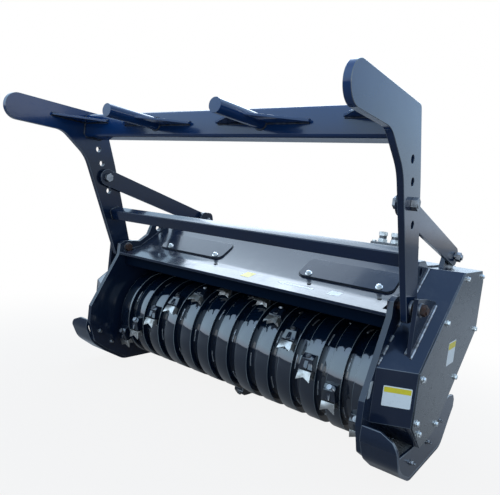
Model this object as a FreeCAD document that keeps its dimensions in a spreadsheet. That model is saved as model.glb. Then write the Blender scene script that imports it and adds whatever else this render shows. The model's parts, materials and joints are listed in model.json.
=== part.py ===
import FreeCAD, Part
import math
import os
import Sketcher

# Forestry mulcher head with a toothed rotor, side skids and a push frame on two lower pivots.
# X runs across the head, the open front of the housing faces -Y and Z is up from the floor.
# The origin is on the floor in the middle of the head's length and width.

V = FreeCAD.Vector
doc = FreeCAD.newDocument("ForestryMulcher")
sheet = doc.addObject("Spreadsheet::Sheet", "Sizes")

# name, millimetres, degrees or a count, what it measures
SIZES = (
    ("inner_width", 1390, "between the two side plates"),
    ("side_sheet", 20, "thickness of a side plate"),
    ("pivot_y", -47, "push frame pivot, along Y"),
    ("pivot_z", 600, "push frame pivot, above the floor"),
    ("pivot_pin_r", 13, "radius of a push frame pivot pin"),
    ("lip_y", -97, "front edge of the hood"),
    ("lip_z", 574, "height of the hood's front edge"),
    ("fold_y", 31, "fold between the hood's lip and its slope"),
    ("fold_z", 605, "height of that fold"),
    ("slope_top_y", 208, "top of the hood's slope"),
    ("hood_top", 720, "height of the hood's flat top"),
    ("hood_sheet", 12, "thickness of the hood and rear wall"),
    ("rear_y", 643, "outside of the rear wall"),
    ("rear_knee_z", 420, "height where the rear wall turns inward"),
    ("rear_foot_y", 500, "lower edge of the rear wall, along Y"),
    ("rear_foot_z", 120, "lower edge of the rear wall, height"),
    ("side_front_y", -232, "front edge of a side plate"),
    ("side_bottom_z", 20, "lower edge of a side plate"),
    ("ear_rise", 30, "side plate above the pivot"),
    ("bracket_rise", 95, "rear brace ear above the hood's top"),
    ("eye_y", 146, "lifting eye in a side plate, along Y"),
    ("eye_z", 706, "lifting eye in a side plate, height"),
    ("eye_r", 17, "radius of a lifting eye"),
    ("rotor_y", 145, "rotor axis, along Y"),
    ("rotor_z", 265, "rotor axis, above the floor"),
    ("drum_r", 186, "radius of the rotor's drum"),
    ("rib_r", 215, "radius of the rotor's ribs"),
    ("rib_count", 13, "ribs along the rotor"),
    ("rib_width", 62, "width of a rib, which is a flat bar bent round the drum"),
    ("rib_end_gap", 22, "from the drum's end to its first rib"),
    ("drum_wall", 16, "wall of the rotor's drum"),
    ("drum_gap", 6, "between the drum's end and a side plate"),
    ("shaft_r", 40, "radius of the rotor's shaft"),
    ("tooth_width", 60, "width of a tooth and its holder"),
    ("tooth_reach", 40, "tooth in front of its holder"),
    ("tooth_notch", 15, "depth of the notch between a tooth's points"),
    ("tip_r", 255, "radius of the tooth points' circle"),
    ("holder_length", 62, "holder along the rotor's turn"),
    ("holder_top_r", 246, "top of a holder above the rotor axis"),
    ("spiral_step", 20, "degrees from one rib's teeth to the next rib's"),
    ("cover_width", 115, "side cover outside the side plate"),
    ("cover_slant", 64, "side cover's outer face set back behind its inner one"),
    ("cover_front_y", -172, "side cover's front edge at the side plate"),
    ("cover_front_z", 410, "top of the side cover's upright front"),
    ("cover_slope_run", 415, "length in Y of the side cover's slope"),
    ("cover_wall", 6, "wall of a side cover"),
    ("lid_sheet", 6, "thickness of a side cover's lid"),
    ("screw_r", 11, "radius over the corners of a lid screw's head"),
    ("screw_head", 11, "height of a lid screw's head"),
    ("skid_width", 113, "width of a skid outside the side plate"),
    ("skid_corner_r", 60, "round upper corner of a skid's nose"),
    ("web_inset", 13, "skid's web set inward from the edge of its sole"),
    ("web_sheet", 10, "thickness of a skid's web"),
    ("skid_sheet", 14, "thickness of a skid"),
    ("skid_nose_y", -238, "skid's foremost point"),
    ("skid_nose_z", 238, "top of the skid's nose"),
    ("skid_flat_front", 13, "front of the skid's flat sole"),
    ("skid_flat_rear", 393, "rear of the skid's flat sole"),
    ("arm_sheet", 22, "thickness of a push arm"),
    ("arm_gap", 24, "between a side plate and its push arm"),
    ("arm_lean", 23.1, "degrees that the arms lean forward"),
    ("arm_foot_r", 50, "rounded lower end of an arm"),
    ("horn_top", 1220, "upper edge of an arm's horn"),
    ("horn_depth", 108, "height of an arm's horn"),
    ("horn_reach", 646, "from the pivot to the horn's tip"),
    ("hole_first", 294.5, "from the pivot to the lowest adjusting hole"),
    ("hole_step", 68.4, "from one adjusting hole to the next"),
    ("hole_r", 13, "radius of an adjusting hole"),
    ("beam_size", 100, "side of the square top beam"),
    ("beam_wall", 8, "wall of the top beam"),
    ("beam_face", 230, "from the pivot forward to the middle of the beam"),
    ("bar_size", 50, "side of the square lower bar"),
    ("bar_wall", 5, "wall of the lower bar"),
    ("bar_rise", 165, "from the pivot up to the middle of the lower bar"),
    ("bar_ahead", 65, "from the pivot forward to the middle of the lower bar"),
    ("pipe_r", 24, "radius of a pipe horn"),
    ("pipe_wall", 5, "wall of a pipe horn"),
    ("pipe_reach", 238, "pipe horn in front of the beam"),
    ("pipe_spacing", 520, "between the two pipe horns"),
    ("gusset_sheet", 8, "thickness of a gusset"),
    ("gusset_leg", 170, "length of a gusset's sides"),
    ("brace_sheet", 14, "thickness of a brace"),
    ("brace_width", 79, "width of a brace"),
    ("brace_pin_y", 528, "rear pin of the braces, along Y"),
    ("brace_pin_z", 766, "rear pin of the braces, height"),
    ("bolt_r", 12, "radius of a brace bolt"),
    ("ear_out", 60, "from the side plate to an outer ear's inner face"),
    ("ear_sheet", 15, "thickness of an outer ear"),
    ("hatch_sheet", 6, "thickness of an inspection hatch"),
    ("hatch_width", 400, "width of an inspection hatch"),
    ("hatch_length", 120, "length of an inspection hatch down the slope"),
    ("hatch_left_gap", 130, "left hatch from the left side plate"),
    ("hatch_right_gap", 42, "right hatch from the right side plate"),
    ("adapter_width", 1130, "width of the attachment plate"),
    ("adapter_height", 460, "height of the attachment plate"),
    ("adapter_sheet", 12, "thickness of the attachment plate"),
    ("adapter_stand_off", 20, "between the rear wall and the attachment plate"),
    ("adapter_rail", 30, "depth of the attachment plate's upper rail"),
    ("rail_height", 50, "height of the attachment plate's upper rail"),
    ("adapter_rib", 14, "thickness of a rib behind the attachment plate"),
    ("window_width", 340, "width of the window in the attachment plate"),
    ("window_height", 210, "height of the window in the attachment plate"),
    ("lock_slot_width", 70, "width of a lock slot in the attachment plate"),
    ("lock_slot_height", 28, "height of a lock slot in the attachment plate"),
    ("lock_spacing", 690, "between the middles of the two lock slots"),
    ("manifold_length", 180, "length of the manifold"),
    ("manifold_width", 90, "width of the manifold"),
    ("manifold_height", 70, "height of the manifold"),
    ("manifold_gap", 85, "manifold from the right side plate"),
    ("manifold_rear", 223, "manifold from the rear wall's outside"),
    ("port_r", 16, "radius of a port stub"),
    ("port_rise", 45, "port stub above the manifold"),
    ("port_pitch", 55, "from one port stub to the next"),
    ("seat_gap", 0.3, "gap where a rounded piece sits on another"),
)


class Size:
    """A number with the sheet expression that gives it."""

    def __init__(self, number, text):
        self.number = number
        self.text = text

    def __add__(self, other):
        other = as_size(other)
        return Size(self.number + other.number, f"({self.text} + {other.text})")

    def __sub__(self, other):
        other = as_size(other)
        return Size(self.number - other.number, f"({self.text} - {other.text})")

    def __mul__(self, factor):
        factor = as_size(factor)
        return Size(self.number * factor.number, f"({self.text} * {factor.text})")

    def __truediv__(self, factor):
        factor = as_size(factor)
        return Size(self.number / factor.number, f"({self.text} / {factor.text})")

    def __neg__(self):
        return self * -1

    __radd__ = __add__
    __rmul__ = __mul__


def as_size(value):
    if isinstance(value, Size):
        return value
    return Size(float(value), f"({float(value):.9g})")


class Cells:
    """The sheet's values by their names."""

    def __init__(self, rows):
        for row, (name, number, note) in enumerate(rows, start=1):
            sheet.set(f"A{row}", name)
            sheet.set(f"B{row}", str(number))
            sheet.set(f"C{row}", note)
            sheet.setAlias(f"B{row}", name)
            setattr(self, name, Size(float(number), f"Sizes.{name}"))


c = Cells(SIZES)
doc.recompute()
nodes = []


def origin_plane(body, role):
    return next(f for f in body.Origin.OriginFeatures if f.Role == role)


def bind(item, prop, size):
    item.setExpression(prop, as_size(size).text)


def constrain(sketch, kind, where, size):
    size = as_size(size)
    index = sketch.addConstraint(Sketcher.Constraint(kind, *where, size.number))
    sketch.setExpression(f"Constraints[{index}]", size.text)


def draw_polygon(sketch, corners):
    """Close straight lines through the corners and tie each corner to the sheet."""
    corners = [(as_size(a), as_size(b)) for a, b in corners]
    first = sketch.GeometryCount
    spots = [V(a.number, b.number, 0) for a, b in corners]
    count = len(spots)
    for i in range(count):
        sketch.addGeometry(Part.LineSegment(spots[i], spots[(i + 1) % count]))
    for i in range(count):
        following = first + (i + 1) % count
        sketch.addConstraint(Sketcher.Constraint("Coincident", first + i, 2, following, 1))
    for i, (a, b) in enumerate(corners):
        constrain(sketch, "DistanceX", (-1, 1, first + i, 1), a)
        constrain(sketch, "DistanceY", (-1, 1, first + i, 1), b)


def draw_circle(sketch, a, b, radius):
    a, b, radius = as_size(a), as_size(b), as_size(radius)
    index = sketch.GeometryCount
    sketch.addGeometry(Part.Circle(V(a.number, b.number, 0), V(0, 0, 1), radius.number))
    constrain(sketch, "DistanceX", (-1, 1, index, 3), a)
    constrain(sketch, "DistanceY", (-1, 1, index, 3), b)
    constrain(sketch, "Radius", (index,), radius)


def new_sketch(body, role, name, offset=0):
    sketch = body.newObject("Sketcher::SketchObject", name)
    sketch.AttachmentSupport = (origin_plane(body, role), [""])
    sketch.MapMode = "FlatFace"
    bind(sketch, "AttachmentOffset.Base.z", offset)
    return sketch


def keep(item, label):
    """List a finished sub-part under the label that names its file."""
    item.Label = label
    nodes.append(item)
    return item


def edges_at(shape, axis, spots):
    """Edges along one axis (0 X, 1 Y, 2 Z) through the given places in the other two."""
    others = [i for i in range(3) if i != axis]
    found = []
    for number, edge in enumerate(shape.Edges, start=1):
        if len(edge.Vertexes) < 2:
            continue
        a, b = edge.Vertexes[0].Point, edge.Vertexes[-1].Point
        if any(abs(a[i] - b[i]) > 0.01 for i in others):
            continue
        if any(abs(a[others[0]] - u) < 0.05 and abs(a[others[1]] - w) < 0.05 for u, w in spots):
            found.append(f"Edge{number}")
    return found


def numbers(corner):
    return tuple(as_size(value).number for value in corner)


def side_body(name, corners, start, depth, holes=(), rounds=()):
    """A plate whose outline lies across X; rounds holds (radius, corners) pairs."""
    body = doc.addObject("PartDesign::Body", name)
    sketch = new_sketch(body, "YZ_Plane", name + "_outline", start)
    draw_polygon(sketch, corners)
    for y, z, radius in holes:
        draw_circle(sketch, y, z, radius)
    pad = body.newObject("PartDesign::Pad", name + "_pad")
    pad.Profile = sketch
    bind(pad, "Length", depth)
    doc.recompute()
    for index, (radius, spots) in enumerate(rounds):
        base = body.Tip
        fillet = body.newObject("PartDesign::Fillet", f"{name}_round{index}")
        fillet.Base = (base, edges_at(base.Shape, 0, [numbers(spot) for spot in spots]))
        bind(fillet, "Radius", radius)
        doc.recompute()
    return body


def along(points, thickness):
    """Outline of a bent sheet that lies to the right of the line through the points."""
    points = [(as_size(a), as_size(b)) for a, b in points]
    flat = [(a.number, b.number) for a, b in points]
    normals = []
    for (ya, za), (yb, zb) in zip(flat[:-1], flat[1:]):
        run = math.hypot(yb - ya, zb - za)
        normals.append(((zb - za) / run, (ya - yb) / run))
    inner = []
    for i, (a, b) in enumerate(points):
        before = normals[max(i - 1, 0)]
        after = normals[min(i, len(normals) - 1)]
        scale = 1 + before[0] * after[0] + before[1] * after[1]
        inner.append((a + thickness * ((before[0] + after[0]) / scale),
                      b + thickness * ((before[1] + after[1]) / scale)))
    return points + inner[::-1]


def box(name, x, y, z, length, width, height):
    item = doc.addObject("Part::Box", name)
    for prop, size in (("Length", length), ("Width", width), ("Height", height),
                       ("Placement.Base.x", x), ("Placement.Base.y", y),
                       ("Placement.Base.z", z)):
        bind(item, prop, size)
    return item


def cross_pin(name, x, y, z, radius, length):
    """A cylinder along X that starts at x."""
    item = doc.addObject("Part::Cylinder", name)
    item.Placement.Rotation = FreeCAD.Rotation(V(0, 1, 0), 90)
    for prop, size in (("Radius", radius), ("Height", length), ("Placement.Base.x", x),
                       ("Placement.Base.y", y), ("Placement.Base.z", z)):
        bind(item, prop, size)
    return item


def cross_hexagon(name, x, y, z, radius, length):
    """A six-sided head or nut along X that starts at x, with radius over its corners."""
    item = doc.addObject("Part::Prism", name)
    item.Polygon = 6
    item.Placement.Rotation = FreeCAD.Rotation(V(0, 1, 0), 90)
    for prop, size in (("Circumradius", radius), ("Height", length), ("Placement.Base.x", x),
                       ("Placement.Base.y", y), ("Placement.Base.z", z)):
        bind(item, prop, size)
    return item


def cut(name, base, tool):
    item = doc.addObject("Part::Cut", name)
    item.Base = base
    item.Tool = tool
    return item


def fuse(name, shapes):
    item = doc.addObject("Part::MultiFuse", name)
    item.Shapes = shapes
    return item


def built(name, shape):
    """A sub-part whose form comes from Part's own functions."""
    item = doc.addObject("Part::Feature", name)
    item.Shape = shape
    return item


def start_of(side, near, depth):
    """Where a piece starts in X, for one that stands outward from near by depth."""
    return near if side > 0 else -(near + depth)


def face(points):
    """A flat face through points given as three coordinates."""
    wire = Part.makePolygon([V(*point) for point in points] + [V(*points[0])])
    return Part.Face(wire)


half = c.inner_width / 2
side_face = half + c.side_sheet
arm_near = side_face + c.arm_gap
lean = math.radians(c.arm_lean.number)
SIDES = ((1, "right"), (-1, "left"))

# Side plates, each with its pivot ear in front and a brace ear at the rear
plate_corners = [
    (c.lip_y, c.lip_z - c.hood_sheet),
    (c.side_front_y, 310),
    (c.side_front_y, 230),
    (c.side_front_y + 40, 130),
    (c.skid_flat_front - 118, 76),
    (c.skid_flat_front, c.side_bottom_z),
    (c.skid_flat_rear - 5, c.side_bottom_z),
    (c.skid_flat_rear + 57, 75),
    (c.rear_y, c.rear_knee_z - 20),
    (c.rear_y, c.hood_top),
    (c.brace_pin_y + 70, c.hood_top),
    (c.brace_pin_y + 40, c.hood_top + c.bracket_rise),
    (c.brace_pin_y - 40, c.hood_top + c.bracket_rise),
    (c.brace_pin_y - 90, c.hood_top),
    (c.eye_y + 80, c.hood_top),
    (c.eye_y + 40, c.eye_z + 42),
    (c.eye_y - 34, c.eye_z + 42),
    (c.fold_y + 50, c.pivot_z + 70),
    (c.fold_y, c.pivot_z + c.ear_rise + 4),
    (c.pivot_y - 20, c.pivot_z + c.ear_rise + 2),
    (c.lip_y, c.pivot_z + 16),
]
plate_rounds = (
    (34, [plate_corners[11], plate_corners[12]]),
    (25, [plate_corners[3], plate_corners[4]]),
    (30, [plate_corners[15], plate_corners[16]]),
    (12, [plate_corners[1], plate_corners[2], plate_corners[17], plate_corners[19]]),
)
for side, word in SIDES:
    plate = side_body(
        f"side_plate_{word}", plate_corners, start_of(side, half, c.side_sheet), c.side_sheet,
        holes=((c.rotor_y, c.rotor_z, c.shaft_r + 12),
               (c.pivot_y, c.pivot_z, c.pivot_pin_r + 0.05),
               (c.eye_y, c.eye_z, c.eye_r),
               (c.brace_pin_y, c.brace_pin_z, c.bolt_r + 0.05)),
        rounds=plate_rounds)
    keep(plate, f"side_plate_{word}")

# Hood, bent from one sheet: lip, slope and flat top, notched round the pivot pins' heads
hood_line = [
    (c.lip_y, c.lip_z),
    (c.fold_y, c.fold_z),
    (c.slope_top_y, c.hood_top),
    (c.rear_y, c.hood_top),
]
hood_sheet = side_body("hood_sheet", along(hood_line, c.hood_sheet), -half, c.inner_width)
notches = fuse("hood_notches", [
    cross_pin(f"hood_notch_{word}", start_of(side, half - 26, 40), c.pivot_y, c.pivot_z,
              c.pivot_pin_r + 15, 40) for side, word in SIDES])
keep(cut("hood", hood_sheet, notches), "hood")

# Rear wall, bent inward below its knee
wall_line = [
    (c.rear_y, c.hood_top - c.hood_sheet),
    (c.rear_y, c.rear_knee_z),
    (c.rear_foot_y, c.rear_foot_z),
]
rear_wall = side_body("rear_wall", along(wall_line, c.hood_sheet), -half, c.inner_width)
keep(rear_wall, "rear_wall")

# Anvil bar behind the lip, against which the teeth break the wood
anvil = side_body("anvil_bar", [
    (c.lip_y + 40, c.lip_z - 60), (c.lip_y + 90, c.lip_z - 60),
    (c.lip_y + 90, c.lip_z - 12), (c.lip_y + 40, c.lip_z - 12),
], -half, c.inner_width)
keep(anvil, "anvil_bar")

# Inspection hatches bolted on the hood's slope
slope_angle = math.atan2(c.hood_top.number - c.fold_z.number,
                         c.slope_top_y.number - c.fold_y.number)
HATCHES = (("left", -half + c.hatch_left_gap), ("right", half - c.hatch_right_gap - c.hatch_width))
for word, x_start in HATCHES:
    body = doc.addObject("PartDesign::Body", f"hatch_{word}")
    sketch = new_sketch(body, "XY_Plane", f"hatch_{word}_outline")
    hatch_corners = [(x_start, 0), (x_start + c.hatch_width, 0),
                     (x_start + c.hatch_width, c.hatch_length), (x_start, c.hatch_length)]
    draw_polygon(sketch, hatch_corners)
    pad = body.newObject("PartDesign::Pad", f"hatch_{word}_pad")
    pad.Profile = sketch
    bind(pad, "Length", c.hatch_sheet)
    doc.recompute()
    fillet = body.newObject("PartDesign::Fillet", f"hatch_{word}_round")
    fillet.Base = (pad, edges_at(pad.Shape, 2, [numbers(spot) for spot in hatch_corners]))
    fillet.Radius = 30
    run = 25
    body.Placement = FreeCAD.Placement(
        V(0, c.fold_y.number + run * math.cos(slope_angle),
          c.fold_z.number + run * math.sin(slope_angle)),
        FreeCAD.Rotation(V(1, 0, 0), math.degrees(slope_angle)))
    doc.recompute()
    keep(body, f"hatch_{word}")

# Side covers: boxes outside the side plates whose front and slope are set back outward
cover_top_y = c.cover_front_y + c.cover_slope_run
cover_corners = [
    (c.cover_front_y, c.cover_front_z),
    (cover_top_y, c.hood_top),
    (c.rear_y - 45, c.hood_top),
    (c.rear_y, c.hood_top - 45),
    (c.rear_y, 459),
    (163, 139),
    (10, 128),
    (c.cover_front_y, 230),
]
SLANTED = (0, 1, 7)


def cover_outline(x, set_back, shrink=0.0):
    spots = []
    for index, corner in enumerate(cover_corners):
        y, z = numbers(corner)
        spots.append((x, y + (set_back if index in SLANTED else 0), z))
    wire = Part.makePolygon([V(*spot) for spot in spots] + [V(*spots[0])])
    if shrink:
        wire = wire.makeOffset2D(-shrink, 2, False, False)
    return wire


def cover_solid(side, shrink=0.0, reach=0.0):
    near = side_face.number
    far = near + c.cover_width.number
    grow = c.cover_slant.number / c.cover_width.number
    ends = [cover_outline(side * (near - reach), -reach * grow, shrink),
            cover_outline(side * (far + reach), c.cover_slant.number + reach * grow, shrink)]
    return Part.makeLoft(ends, True, True)


# Screws of a lid, along Y and Z
LID_SCREWS = ((340, 694), (600, 695), (128, 546), (612, 466), (-76, 386), (-76, 240),
              (372, 302), (-34, 192), (172, 168))

for side, word in SIDES:
    shell = cover_solid(side).cut(cover_solid(side, c.cover_wall.number, 1.0))
    keep(built(f"side_cover_{word}", shell), f"side_cover_{word}")
    near = side * (side_face.number + c.cover_width.number)
    lid = Part.Face(cover_outline(near, c.cover_slant.number)).extrude(
        V(side * c.lid_sheet.number, 0, 0))
    head_from = near + side * (c.lid_sheet.number - 1)
    heads = []
    for y, z in LID_SCREWS:
        ring = Part.makePolygon([
            V(head_from, y + c.screw_r.number * math.cos(math.radians(60 * k)),
              z + c.screw_r.number * math.sin(math.radians(60 * k))) for k in range(7)])
        heads.append(Part.Face(ring).extrude(V(side * (c.screw_head.number + 1), 0, 0)))
    keep(built(f"cover_lid_{word}", lid.fuse(heads)), f"cover_lid_{word}")

# Skids: a bent sole with an upturned nose and an upright outer web
skid_line = [
    (c.skid_nose_y + 6, c.skid_nose_z),
    (c.skid_nose_y, c.skid_nose_z - 38),
    (c.skid_nose_y + 43, c.skid_nose_z - 118),
    (c.skid_nose_y + 129, c.skid_nose_z - 176),
    (c.skid_flat_front, 0),
    (c.skid_flat_rear, 0),
    (c.skid_flat_rear + 85, 88),
    (c.skid_flat_rear + 138, 135),
]


# The web's upper edge keeps just under the side cover
web_corners = [
    (c.skid_flat_front - 120, 110),
    (c.skid_flat_front, c.skid_sheet / 2),
    (c.skid_flat_rear, c.skid_sheet / 2),
    (c.skid_flat_rear + 80, 96),
    (c.skid_flat_rear + 138, 130),
    (c.skid_flat_rear + 138, 165),
    (c.skid_flat_rear + 112, 190),
    (c.skid_flat_rear + 47, 201),
    (258, 197),
    (163, 134),
    (10, 122),
]


def extruded(corners, x, depth):
    return face([(x, *numbers(corner)) for corner in corners]).extrude(V(depth, 0, 0))


def rounded(solid, axis, radius, spots):
    names = edges_at(solid, axis, spots)
    edges = [solid.Edges[int(name[4:]) - 1] for name in names]
    return solid.makeFillet(radius, edges)


for side, word in SIDES:
    near = side * side_face.number
    width = side * c.skid_width.number
    profile = along(skid_line, -c.skid_sheet)
    sole = extruded(profile, near, width)
    bends = [numbers(profile[i]) for i in (2, 3, 4, 5, 6)]
    sole = rounded(sole, 0, 30, bends)
    inner_bends = [numbers(profile[i]) for i in (9, 10, 11, 12, 13)]
    sole = rounded(sole, 0, 16, inner_bends)
    corner_r = c.skid_corner_r.number
    corner_x = near + width - side * corner_r
    corner_z = c.skid_nose_z.number - corner_r
    front = c.skid_nose_y.number - 10
    corner = Part.makeBox(corner_r + 5, 120, corner_r + 5,
                          V(min(corner_x, corner_x + side * (corner_r + 5)), front, corner_z))
    corner = corner.cut(Part.makeCylinder(corner_r, 120, V(corner_x, front, corner_z), V(0, 1, 0)))
    sole = sole.cut(corner)
    web_near = near + width - side * (c.web_inset + c.web_sheet).number
    web = extruded(web_corners, web_near, side * c.web_sheet.number)
    skid = sole.fuse(web.cut(sole)).removeSplitter()
    keep(built(f"skid_{word}", skid), f"skid_{word}")

# Outer ears that stand on the side covers' slopes and hold the pivot pins outside the arms
for side, word in SIDES:
    near = side_face.number + c.ear_out.number
    ear = extruded([
        (c.pivot_y - 38, c.pivot_z + 38), (c.pivot_y + 40, c.pivot_z + 34),
        (c.pivot_y + 170, c.pivot_z + 14), (c.pivot_y + 170, c.pivot_z - 60),
        (c.pivot_y - 38, c.pivot_z - 190),
    ], side * near, side * c.ear_sheet.number)
    ear = ear.cut(cover_solid(side))
    hole = Part.makeCylinder(c.pivot_pin_r.number + 0.05, 300,
                             V(side * near - 150, c.pivot_y.number, c.pivot_z.number), V(1, 0, 0))
    keep(built(f"pivot_ear_{word}", ear.cut(hole)), f"pivot_ear_{word}")

# Pivot pins with heads on their inner ends and nuts outside the ears
for side, word in SIDES:
    inner = half - 14
    shank = c.side_sheet + c.ear_out + c.ear_sheet + 14 + 24
    pin = cross_pin(f"pivot_shank_{word}", start_of(side, inner, shank), c.pivot_y, c.pivot_z,
                    c.pivot_pin_r, shank)
    head = cross_hexagon(f"pivot_head_{word}", start_of(side, inner, 13.7), c.pivot_y,
                         c.pivot_z, c.pivot_pin_r + 7, 13.7)
    nut_near = side_face + c.ear_out + c.ear_sheet + c.seat_gap
    nut = cross_hexagon(f"pivot_nut_{word}", start_of(side, nut_near, 18), c.pivot_y, c.pivot_z,
                        c.pivot_pin_r + 7, 18)
    keep(fuse(f"pivot_pin_{word}", [pin, head, nut]), f"pivot_pin_{word}")

# Bearings on the outside of the side plates, inside the covers
for side, word in SIDES:
    reach = c.shaft_r + 34
    flange = box(f"bearing_flange_{word}", start_of(side, side_face, 20), c.rotor_y - reach,
                 c.rotor_z - reach, 20, reach * 2, reach * 2)
    hub = cross_pin(f"bearing_hub_{word}", start_of(side, side_face, 52), c.rotor_y,
                    c.rotor_z, c.shaft_r + 25, 52)
    bore = cross_pin(f"bearing_bore_{word}", start_of(side, side_face - 5, 80), c.rotor_y,
                     c.rotor_z, c.shaft_r + 0.05, 80)
    solid = fuse(f"bearing_solid_{word}", [flange, hub])
    keep(cut(f"bearing_{word}", solid, bore), f"bearing_{word}")

# Rotor: a hollow drum on a through shaft, with flat-crested ribs
drum_end = half - c.drum_gap
rotor = doc.addObject("PartDesign::Body", "rotor_drum")
core = new_sketch(rotor, "XY_Plane", "rotor_core_outline")
stub = side_face + 48
draw_polygon(core, [(-stub, 0), (stub, 0), (stub, c.shaft_r), (drum_end, c.shaft_r),
                    (drum_end, c.drum_r), (-drum_end, c.drum_r), (-drum_end, c.shaft_r),
                    (-stub, c.shaft_r)])
hollow_end = drum_end - 20
hollow_r = c.drum_r - c.drum_wall
draw_polygon(core, [(-hollow_end, c.shaft_r), (hollow_end, c.shaft_r), (hollow_end, hollow_r),
                    (-hollow_end, hollow_r)])
core_turn = rotor.newObject("PartDesign::Revolution", "rotor_core")
core_turn.Profile = core
core_turn.ReferenceAxis = (core, ["H_Axis"])
core_turn.Angle = 360
rib_pitch = (drum_end * 2 - c.rib_end_gap * 2 - c.rib_width) / (c.rib_count - 1)
first_rib = -rib_pitch * (c.rib_count - 1) / 2
rib = new_sketch(rotor, "XY_Plane", "rib_outline")
draw_polygon(rib, [(first_rib - c.rib_width / 2, c.drum_r - 6),
                   (first_rib + c.rib_width / 2, c.drum_r - 6),
                   (first_rib + c.rib_width / 2, c.rib_r),
                   (first_rib - c.rib_width / 2, c.rib_r)])
rib_turn = rotor.newObject("PartDesign::Revolution", "rib")
rib_turn.Profile = rib
rib_turn.ReferenceAxis = (rib, ["H_Axis"])
rib_turn.Angle = 360
doc.recompute()
ribs = rotor.newObject("PartDesign::LinearPattern", "ribs")
ribs.Originals = [rib_turn]
ribs.Direction = (rib, ["H_Axis"])
bind(ribs, "Length", rib_pitch * (c.rib_count - 1))
bind(ribs, "Occurrences", c.rib_count)
rotor.Tip = ribs
bind(rotor, "Placement.Base.y", c.rotor_y)
bind(rotor, "Placement.Base.z", c.rotor_z)
doc.recompute()
keep(rotor, "rotor_drum")


def tooth_pair():
    """A holder on the crest and its two-pointed tooth, both at the rotor's top.

    The rotor's front moves down, so at its top the teeth point to -Y.
    """
    wide = c.tooth_width.number
    top = c.holder_top_r.number
    lead = -10.0
    back = lead + c.holder_length.number
    crest = c.rib_r.number
    tip = c.tooth_reach.number - lead
    tip_height = math.sqrt(c.tip_r.number ** 2 - tip ** 2)
    x = -wide / 2
    holder = face([(x, lead, crest - 8), (x, back, crest - 8), (x, back, crest + 12),
                   (x, back - 18, top), (x, lead, top)]).extrude(V(wide, 0, 0))
    holder = holder.cut(Part.makeCylinder(crest, wide + 2, V(x - 1, 0, 0), V(1, 0, 0)))
    blade = face([(x, lead, crest + 6), (x, lead, top + 3), (x, -tip, tip_height),
                  (x, -tip + 12, crest + 6)]).extrude(V(wide, 0, 0))
    notch = face([(-wide / 2 + 6, -tip - 1, 0), (0, -tip + c.tooth_notch.number, 0),
                  (wide / 2 - 6, -tip - 1, 0)]).extrude(V(0, 0, 2 * top))
    return holder, blade.cut(notch)


# Two teeth to a rib, in two spirals that meet at the middle rib
holder, blade = tooth_pair()
middle = (int(c.rib_count.number) - 1) / 2
holders = []
blades = []
for index in range(int(c.rib_count.number)):
    x = (index - middle) * rib_pitch.number
    turn = c.spiral_step.number * abs(index - middle)
    for half_turn in (0, 180):
        place = FreeCAD.Placement(V(x, c.rotor_y.number, c.rotor_z.number),
                                  FreeCAD.Rotation(V(1, 0, 0), turn + half_turn))
        holders.append(holder.transformed(place.toMatrix(), True))
        blades.append(blade.transformed(place.toMatrix(), True))
keep(built("tooth_holders", Part.makeCompound(holders)), "tooth_holders")
keep(built("rotor_teeth", Part.makeCompound(blades)), "rotor_teeth")


def up_arm(distance):
    """A place on the arm's middle line at that distance from the pivot."""
    return (c.pivot_y - distance * math.sin(lean), c.pivot_z + distance * math.cos(lean))


# Push arms: an upright that leans forward and widens into a level horn with a round tip
horn_low = c.horn_top - c.horn_depth
tip_y = c.pivot_y - c.horn_reach
nose = c.horn_depth / 2
arm_corners = [
    (tip_y, horn_low),
    (c.pivot_y - 385, horn_low),
    (c.pivot_y - 258, horn_low - 94),
    (c.pivot_y - c.arm_foot_r * math.cos(lean), c.pivot_z - c.arm_foot_r * 0.4),
    (c.pivot_y - c.arm_foot_r * 0.6, c.pivot_z - c.arm_foot_r),
    (c.pivot_y + c.arm_foot_r * 0.6, c.pivot_z - c.arm_foot_r),
    (c.pivot_y + c.arm_foot_r * 1.02, c.pivot_z),
    (c.pivot_y - 94, horn_low - 112),
    (c.pivot_y - 185, c.horn_top),
    (tip_y, c.horn_top),
]
arm_rounds = (
    (nose - 0.5, [arm_corners[0], arm_corners[9]]),
    (90, [arm_corners[1]]),
    (160, [arm_corners[2]]),
    (18, [arm_corners[3], arm_corners[4], arm_corners[5], arm_corners[8]]),
)
for side, word in SIDES:
    holes = [(*up_arm(c.hole_first + c.hole_step * k), c.hole_r) for k in range(4)]
    holes.append((c.pivot_y, c.pivot_z, c.pivot_pin_r + 0.05))
    arm = side_body(f"push_arm_{word}", arm_corners, start_of(side, arm_near, c.arm_sheet),
                    c.arm_sheet, holes=holes, rounds=arm_rounds)
    keep(arm, f"push_arm_{word}")


def square_tube(name, y, z, size, wall, corner, turn=0):
    """A square tube from arm to arm with its middle at y, z, leaning by the angle turn."""
    body = doc.addObject("PartDesign::Body", name)
    sketch = new_sketch(body, "YZ_Plane", name + "_outline", -arm_near)
    # corners as shares of the reach along Y and Z
    near, far = math.cos(turn) - math.sin(turn), math.cos(turn) + math.sin(turn)
    corners = [(-near, -far), (far, -near), (near, far), (-far, near)]
    reach = size / 2
    outer = [(y + reach * a, z + reach * b) for a, b in corners]
    draw_polygon(sketch, outer)
    reach = size / 2 - wall
    draw_polygon(sketch, [(y + reach * a, z + reach * b) for a, b in corners])
    pad = body.newObject("PartDesign::Pad", name + "_pad")
    pad.Profile = sketch
    bind(pad, "Length", arm_near * 2)
    doc.recompute()
    fillet = body.newObject("PartDesign::Fillet", name + "_round")
    fillet.Base = (pad, edges_at(pad.Shape, 0, [numbers(spot) for spot in outer]))
    fillet.Radius = corner
    doc.recompute()
    return body


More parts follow.
